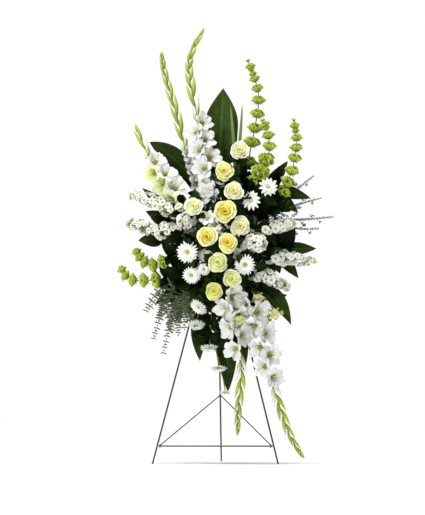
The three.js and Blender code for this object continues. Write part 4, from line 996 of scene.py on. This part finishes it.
for _, piece, rng, (opened, florets, radius), points in pieces(GLADIOLI, "white_petals", 300):
    run = spline([place(*p) for p in points], SPINE_POINTS)
    curve = stem(piece, run[0], run[1] - run[0], 3.6, 0.35, run[1:-1], 1.4)
    for i in range(florets):
        spot, along = at(run, 0.03 + opened * i / florets)
        turned = 1 if i % 2 and piece.node != "gladiolus_top_left" else -1
        aside = unit(np.cross(along, FORWARD)) * 0.75 * turned * FIRST_SIDE.get(piece.node, 1)
        direction = unit(FORWARD + aside + along * 0.35 + rng.normal(0, 0.12, 3))
        r = radius * (1 - 0.2 * i / florets)
        kind = "pale_lime" if i in LIME_FLORETS.get(piece.node, ()) else "white_petal"
        put_floret(piece, spot + direction * r * 0.9, direction, r, rng, (rng.random() - 0.5) * 0.9, kind)
    shares, low_radius = LOW_FLORETS.get(piece.node, ((), 0))
    for i, share in enumerate(shares):
        spot, along = at(curve, share)
        direction = unit(FORWARD + (0.7 if i % 2 else -0.5, 0, 0.1) + rng.normal(0, 0.1, 3))
        put_floret(piece, spot + direction * low_radius * 1.2, direction, low_radius, rng, rng.random())
    put_buds(piece, run, opened, rng)

# Open white florets on short stems, deep between the roses: place, radius and direction
FILLERS = [
    ((-24, 866, 150), 31, (-0.3, -1, 0.3)),
    ((4, 841, 160), 28, (0.2, -1, 0.2)),
    ((34, 824, 152), 27, (0.3, -1, 0.1)),
    ((90, 768, 146), 26, (0.4, -1, -0.2)),
    ((-16, 722, 142), 24, (-0.2, -1, -0.2)),
]

rng = np.random.default_rng(450)
piece = Piece("filler_florets", "white_petals")
for spot, radius, direction in FILLERS:
    target, direction = place(*spot), unit(direction)
    stem(piece, target - direction * radius * 0.8, direction, 1.6)
    put_floret(piece, target, direction, radius, rng, rng.random() * 6)
piece.make(replaced=False)

SPRAY_ROSES = ((154, 583, 96), (212, 529, 92), (91, 506, 144))
SPRAY_RADIUS = 22
SPRAY_SEPAL = [(0.2, -0.7), (0.6, -0.5), (0.95, -0.1), (1.3, 0.05)]
# Each spray bud's rose and its way from there
SPRAY_BUDS = ((0, (-20, 18, 26)), (1, (24, 14, 6)), (1, (-16, 12, -24)))

rng = np.random.default_rng(400)
piece = Piece("spray_roses", "rose_cream")
targets = [place(*p) for p in SPRAY_ROSES]
direction = unit((0.25, -0.75, -0.6))
seats = [t - direction * SPRAY_RADIUS * 0.9 for t in targets]
main = forked_stem(piece, seats, [direction] * len(seats), 0.3, 0.55, 25)
for target in targets:
    put_rose(piece, target, direction, SPRAY_RADIUS * 1.05, "cream_petal", rng, 13, 8, 7)
    for i in range(5):
        sepal = sheet(petal(SPRAY_SEPAL, 0.3, 0.3, rng, 7, 5, power=1.4), 0.04)
        base = facing(target, direction, i * math.tau / 5, SPRAY_RADIUS)
        piece.add(sepal, "green_bud", base, rng.random())
for which, off in SPRAY_BUDS:
    target = targets[which]
    spot = target + off
    twig = bezier((target - direction * 34, mix(target, spot, 0.3) - direction * 24, spot), 6)
    piece.add(tube(twig, 1.1, 4), "green_stem")
    piece.add(bud(spot - direction * 10, spot + direction * 16, 6.5, UP), "green_bud", tint=rng.random())
stem_leaves(piece, main, (0.4, 0.6, 0.8), 0.7, 44, 12, "rose_leaf", rng)
piece.make()

# Each spine's number of whorls and their radius, and its points
BELLS = [
    ("bells_top", (8, 31), [
        (109, 1034, 40), (126, 1130, 42), (140, 1199, 42), (152, 1270, 42), (152, 1330, 40), (139, 1380, 38),
        (116, 1444, 36),
    ]),
    ("bells_upper_right", (6, 33), [
        (137, 977, 62), (163, 1034, 82), (190, 1098, 86), (191, 1160, 82), (170, 1221, 78),
    ]),
    ("bells_right", (7, 31), [
        (221, 943, 44), (258, 1001, 62), (282, 1080, 62), (290, 1145, 58), (281, 1224, 54),
    ]),
    ("bells_left_low", (5, 29), [
        (-181, 658, 52), (-237, 652, 56), (-289, 652, 54), (-323, 670, 50), (-340, 700, 48),
    ]),
    ("bells_left", (5, 29), [
        (-161, 732, 62), (-205, 710, 66), (-246, 714, 60), (-271, 735, 54), (-287, 760, 52),
    ]),
]
# Whorls that are turned to the front
FACING_WHORLS = {"bells_upper_right": (1, 2)}

for _, piece, rng, (whorls, radius), points in pieces(BELLS, "bells", 500):
    run = spline([place(*p) for p in points], SPINE_POINTS)
    curve = stem(piece, run[0], run[1] - run[0], 2.6, 0.35, run[1:], 1.2, 0.2)
    fan_leaves(piece, curve, 7, (0.35, 1.0), (46, 76), 18, rng, 0.0)
    for i in range(whorls):
        spot, along = at(run, (i + 0.4) / whorls)
        size = radius * (1.05 - 0.45 * i / (whorls - 1))
        lift = 0.9
        if i in FACING_WHORLS.get(piece.node, ()):
            along = unit(along * 0.5 + FORWARD)
            lift = 0.6
        put_whorl(piece, spot, along, size, rng, 6, i * 0.5, lift)
    for k in range(4):
        spot, along = at(run, 0.86 + 0.045 * k)
        put_whorl(piece, spot, along, radius * (0.46 - 0.07 * k), rng, 4, k * 0.8)

# Each spike's two ends and radius
STOCKS = [
    ("stock_left_upper", (-115, 889, 90), (-311, 963, 62), 42),
    ("stock_left_lower", (-128, 811, 96), (-322, 856, 70), 42),
    ("stock_left_inner", (-84, 857, 84), (-113, 855, 172), 42),
    ("stock_right_upper", (168, 830, 108), (286, 849, 84), 34),
    ("stock_right_inner", (110, 781, 84), (172, 770, 164), 46),
    ("stock_right", (197, 733, 84), (360, 716, 60), 38),
    ("stock_right_low", (138, 681, 104), (263, 622, 86), 36),
]
FLORET = 18.0
FLORET_STEP = 7.5
TIP_BUDS = 14
# How much wider a spike spreads where it is seen from its tip
FACING_SPREAD = {"stock_left_inner": 1.25, "stock_right_inner": 1.4}

for index, piece, rng, start, end, radius in pieces(STOCKS, "white_petals", 600):
    a, b = place(*start), place(*end)
    along = unit(b - a)
    spike = [mix(a, b, s) for s in (0.25, 0.5, 0.75, 0.96)]
    curve = stem(piece, a, along, 3, 0.35, spike, 1.6)
    wider = FACING_SPREAD.get(piece.node, 1.0)
    count = int(np.linalg.norm(b - a) * wider / FLORET_STEP) + 12
    for i in range(count):
        t = i / count
        spot = mix(a, b, t * 0.93)
        reach = radius * wider * (1 - 0.4 * t) * (0.42 + 0.36 * rng.random())
        size = FLORET * (1.0 - 0.34 * t) * (0.82 + 0.36 * rng.random())
        out = around(along, i * GOLDEN)
        direction = unit(out + along * (0.1 + 1.0 * t**2) + rng.normal(0, 0.3, 3))
        head = spot + direction * reach
        stalk = [spot, mix(spot, head, 0.5) - along, head - direction * size * 0.4]
        piece.add(tube(stalk, 0.8, 4), "green_stem")
        put_stock_floret(piece, head, direction, size, rng)
    for i in range(TIP_BUDS):
        out = around(along, i * GOLDEN)
        foot = mix(a, b, 0.9 + 0.007 * i)
        tip = mix(a, b, 1.0) + out * (14 - 0.9 * i) - along * (9 - 0.7 * i)
        piece.add(bud(foot, tip, 4.0, out, 5), "green_bud" if i % 3 else "stock_petal", tint=rng.random())
    stem_leaves(piece, curve, (0.55, 0.7, 0.85, 0.95), index, 62, 9, "grey_leaf", rng, lance)
    fan_leaves(piece, np.array([*curve[1:], *spike]), 9, (0.1, 0.74), (50, 82), 19, rng, -0.3)

# Each leaf's kind, shape, half width, and its curve
BROAD_LEAVES = [
    ("leaf_top", "broad_leaf", broad, 61, [(1, 1019, 4), (20, 1203, -8), (25, 1349, 14)]),
    ("leaf_top_left", "dark_leaf", lance, 40, [(-67, 1000, 2), (-157, 1117, -6), (-242, 1155, 12)]),
    ("leaf_low_right", "dark_leaf", lance, 30, [(146, 635, 50), (225, 605, 52), (268, 492, 48)]),
    ("leaf_low_left", "dark_leaf", lance, 32, [(-37, 586, 44), (-68, 477, 50), (-55, 364, 66)]),
    ("leaf_low_middle", "dark_leaf", lance, 38, [(19, 556, 48), (47, 397, 62), (44, 252, 72)]),
    ("leaf_low_inner", "dark_leaf", lance, 28, [(63, 556, 44), (95, 437, 54), (101, 328, 62)]),
]
SWORD_FOOT = (69, 1003, 6)
# Each sword leaf's middle and tip
SWORDS = (((66, 1147, 28), (52, 1283, 34)), ((87, 1150, 6), (94, 1288, 12)))

for _, piece, rng, kind, shape, half, points in pieces(BROAD_LEAVES, "broad_leaf", 700):
    run = [place(*p) for p in points]
    stem(piece, run[0], run[1] - run[0], 2.4, 0.35)
    blade = leaf(run, half, FORWARD, shape, rows=22, columns=13, fold=0.2, wave=0.05, thick=1.6, rng=rng)
    piece.add(blade, kind, tint=rng.random() * 0.6)

rng = np.random.default_rng(720)
piece = Piece("sword_leaves", "broad_leaf")
foot = place(*SWORD_FOOT)
stem(piece, foot, UP, 1.9, 0.35)
for middle, tip in SWORDS:
    run = (foot, place(*middle), place(*tip))
    piece.add_leaf("sword_leaf", rng, run, 6.5, FORWARD, strap, rows=18, fold=0.2)
piece.make()

# Each branch's stem, and its leaves: where on it, tip and half width
BRANCHES = [
    ("salal_top", [(-26, 961, -14), (-37, 1022, -20), (-27, 1073, -22)], [
        (0.95, (-55, 1194, -16), 30), (0.6, (54, 1133, -20), 30), (0.4, (-118, 1064, -22), 28),
        (0.1, (74, 1031, -16), 26),
    ]),
    ("salal_left", [(-95, 879, 6), (-156, 880, 2), (-198, 796, 0)], [
        (0.3, (-267, 988, 16), 25), (0.95, (-281, 799, 12), 27), (0.5, (-256, 906, 0), 26),
        (0.7, (-166, 729, 0), 28), (0.12, (-156, 1001, 0), 28), (0.05, (-126, 769, 0), 26),
    ]),
    ("salal_right", [(95, 788, 6), (185, 773, 4), (256, 765, 8)], [
        (0.95, (358, 766, 14), 23), (0.7, (294, 661, 8), 26), (0.4, (209, 658, 0), 28),
        (0.55, (270, 860, -4), 27), (0.12, (135, 688, 4), 27), (0.15, (184, 879, -8), 28),
    ]),
    ("salal_upper_right", [(81, 938, 4), (145, 973, 4), (230, 982, 8)], [
        (0.95, (339, 947, 16), 23), (0.7, (257, 1084, 0), 25), (0.35, (167, 1100, -6), 27),
        (0.8, (294, 898, -2), 26), (0.45, (215, 878, 2), 28), (0.05, (115, 1050, -4), 26),
    ]),
    ("salal_low_left", [(-75, 698, 10), (-114, 648, 14), (-144, 598, 20)], [
        (0.5, (-205, 688, 12), 25), (0.4, (-64, 557, 26), 26), (0.95, (-133, 498, 30), 24),
        (0.2, (-155, 759, 6), 26),
    ]),
    ("salal_low_right", [(83, 687, 14), (135, 617, 18), (171, 567, 22)], [
        (0.95, (171, 459, 30), 22), (0.5, (226, 607, 14), 25), (0.3, (105, 537, 28), 26),
        (0.15, (175, 697, 10), 25),
    ]),
]
FILL_LEAVES = 26

for _, piece, rng, points, leaves in pieces(BRANCHES, "salal", 800):
    run = bezier([place(*p) for p in points], 13)
    curve = stem(piece, run[0], run[1] - run[0], 1.9, 0.3, run[1:], tint=0.9)
    for share, end, half in leaves:
        foot, _ = at(run, share)
        bent = arch(foot, place(*end), FORWARD * (10 + 8 * rng.random()))
        piece.add_leaf("salal_leaf", rng, bent, half, FORWARD, ovate, rows=16, columns=7, wave=0.08)
    whole = np.concatenate([curve[3:], run[1:]])
    fan_leaves(piece, whole, FILL_LEAVES, (0.06, 0.96), (62, 106), 25, rng)

# Each spray's kind of leaf and foot, and the middle and tip of each strand
STRANDS = [
    ("eucalyptus_long", "grey_leaf", (-108, 640, 66), [
        ((-152, 540, 84), (-184, 388, 92)), ((-128, 560, 66), (-156, 462, 70)),
        ((-100, 560, 92), (-106, 500, 98)),
    ]),
    ("eucalyptus_left", "grey_leaf", (-140, 650, 58), [
        ((-190, 560, 70), (-220, 440, 74)), ((-215, 630, 56), (-250, 540, 58)),
    ]),
    ("twigs_right", "twig_leaf", (172, 874, 26), [
        ((262, 965, 0), (350, 1026, 26)), ((280, 925, 34), (376, 945, 34)), ((300, 862, 40), (418, 878, 36)),
        ((280, 826, 26), (368, 838, 22)),
    ]),
]
# The distance between pairs of leaves, their length and half width
PAIRS = {"grey_leaf": (9, 20, 3.8), "twig_leaf": (5, 10, 1.9)}
# How far a leaf points along its stem
LEAF_LEAN = {"grey_leaf": 0.05, "twig_leaf": 0.6}
# How many side twigs a strand has, the reach of the first, and how far they hang
SIDE_TWIGS = {"grey_leaf": (3, 118, 1.5), "twig_leaf": (6, 46, 0.0)}


def side_twigs(run, rng, count, reach, hang):
    for j in range(count):
        foot, along = at(run, 0.1 + 0.13 * j)
        side = unit(np.cross(along, FORWARD)) * (1 if j % 2 else -1)
        way = unit(along * 0.8 + side * (0.4 + 0.4 * rng.random()) - UP * hang)
        goal = foot + (way + FORWARD * (rng.random() - 0.5) * 0.3) * (reach - 5 * j)
        yield bezier(arch(foot, goal, side * 6), 9)


def put_strand(piece, line, wire, kind, rng):
    """A thin stem with pairs of small leaves, each pair turned from the one before."""
    step, length, half = PAIRS[kind]
    piece.add(tube(line, np.linspace(wire, 0.5, len(line)), 4), "green_stem", tint=1.0)
    pairs = int(np.linalg.norm(np.diff(line, axis=0), axis=1).sum() / step)
    for i in range(2, pairs):
        foot, along = at(line, (i + 0.5) / pairs)
        taper = 1 - 0.45 * (i / pairs) ** 2
        across = around(along, (i % 2) * 1.1 + rng.normal(0, 0.3), FORWARD)
        for s in (-1, 1):
            out = unit(across * s + along * (LEAF_LEAN[kind] + 0.3 * rng.random()))
            end = foot + out * length * taper * (0.8 + 0.4 * rng.random())
            bent, face = arch(foot, end, along * 2), FORWARD + 0.3 * along
            piece.add_leaf(kind, rng, bent, half * taper, face, lance, rows=6, columns=3)


for _, piece, rng, kind, root, ends in pieces(STRANDS, "fine_foliage", 900):
    start = place(*root)
    for k, (middle, tip) in enumerate(ends):
        run = bezier((start, place(*middle), place(*tip)), 21)
        if not k:
            curve = stem(piece, run[0], run[1] - run[0], 1.6, 0.35)
            fan_leaves(piece, curve, 8, (0.4, 1.0), (56, 90), 23, rng, -0.1)
        put_strand(piece, run, 1.5, kind, rng)
        for line in list(side_twigs(run, rng, *SIDE_TWIGS[kind])):
            put_strand(piece, line, 0.8, kind, rng)

# The rigid nodes keep their CAD shapes
RIGID = {
    "foam_block": "foam_cells",
    "cage": "cage_plastic",
    "tie_lower": "tie_plastic",
    "tie_upper": "tie_plastic",
}
for name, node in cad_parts.items():
    if name in RIGID or name.startswith("easel"):
        node.data.materials.clear()
        node.data.materials.append(MATERIALS[RIGID.get(name, "wire_paint")])

# Stage: floor, light, camera
FLOOR_HALF = 30.0
FLOOR_CORNERS = [(FLOOR_HALF * x, FLOOR_HALF * y, 0) for x, y in ((-1, -1), (1, -1), (1, 1), (-1, 1))]
floor_mesh = bpy.data.meshes.new("floor")
floor_mesh.from_pydata(FLOOR_CORNERS, [], [(0, 1, 2, 3)])
floor = put_in_scene("floor", floor_mesh)
Tree("studio_floor").surface({
    "Base Color": (0.78, 0.78, 0.78, 1),
    "Roughness": 0.9,
    "Emission Color": (1, 1, 1, 1),
    "Emission Strength": 0.06,
})
floor_mesh.materials.append(MATERIALS["studio_floor"])


def aim(thing, way):
    thing.rotation_euler = way.to_track_quat("-Z", "Y").to_euler()


def area_light(name, where, target, size, power):
    data = bpy.data.lights.new(name, "AREA")
    data.shape = "DISK"
    data.size = size
    data.energy = power
    lamp = put_in_scene(name, data)
    lamp.location = where
    aim(lamp, Vector(target) - Vector(where))


area_light("key", (-2.2, -3.6, 2.4), (0, 0, 0.8), 1.2, 120)
area_light("fill", (3.2, -3.0, 1.6), (0, 0, 0.7), 2.4, 16)

sky_data = bpy.data.lights.new("sky", "SUN")
sky_data.energy = 3.4
sky_data.angle = math.radians(24)
aim(put_in_scene("sky", sky_data), Vector((0.06, 0.12, -1.0)))

# The world is white to the camera and lights the spray with less
WORLD_LIGHT, WORLD_SEEN = 0.2, 1.0
world = bpy.data.worlds.new("studio")
bpy.context.scene.world = world
world.use_nodes = True
nodes, links = world.node_tree.nodes, world.node_tree.links
background = nodes["Background"]
background.inputs["Color"].default_value = (1, 1, 1, 1)
rays = nodes.new("ShaderNodeLightPath")
strength = nodes.new("ShaderNodeMapRange")
strength.inputs["To Min"].default_value = WORLD_LIGHT
strength.inputs["To Max"].default_value = WORLD_SEEN
links.new(rays.outputs["Is Camera Ray"], strength.inputs["Value"])
links.new(strength.outputs[0], background.inputs["Strength"])

CAMERA_AZIMUTH = math.radians(3.4)
CAMERA_DISTANCE = 7.0
CAMERA_FORWARD = 0.136
CAMERA_HEIGHT = 0.19
AIM = Vector((-0.053, 0.0, 0.741))
SENSOR = 36
LENS_TRIM = 1.016
PHOTO_ROWS = 515
METRES_PER_PIXEL = 0.0036
camera_data = bpy.data.cameras.new("camera")
camera = put_in_scene("camera", camera_data)
camera.location = (
    AIM.x + CAMERA_DISTANCE * math.sin(CAMERA_AZIMUTH),
    -CAMERA_DISTANCE * math.cos(CAMERA_AZIMUTH) - CAMERA_FORWARD,
    CAMERA_HEIGHT,
)
aim(camera, AIM - camera.location)
camera_data.sensor_fit = "AUTO"
camera_data.sensor_width = SENSOR
camera_data.lens = SENSOR * CAMERA_DISTANCE * LENS_TRIM / (PHOTO_ROWS * METRES_PER_PIXEL)
bpy.context.scene.camera = camera
bpy.context.scene.view_settings.view_transform = "Standard"
bpy.context.scene.view_settings.look = "None"
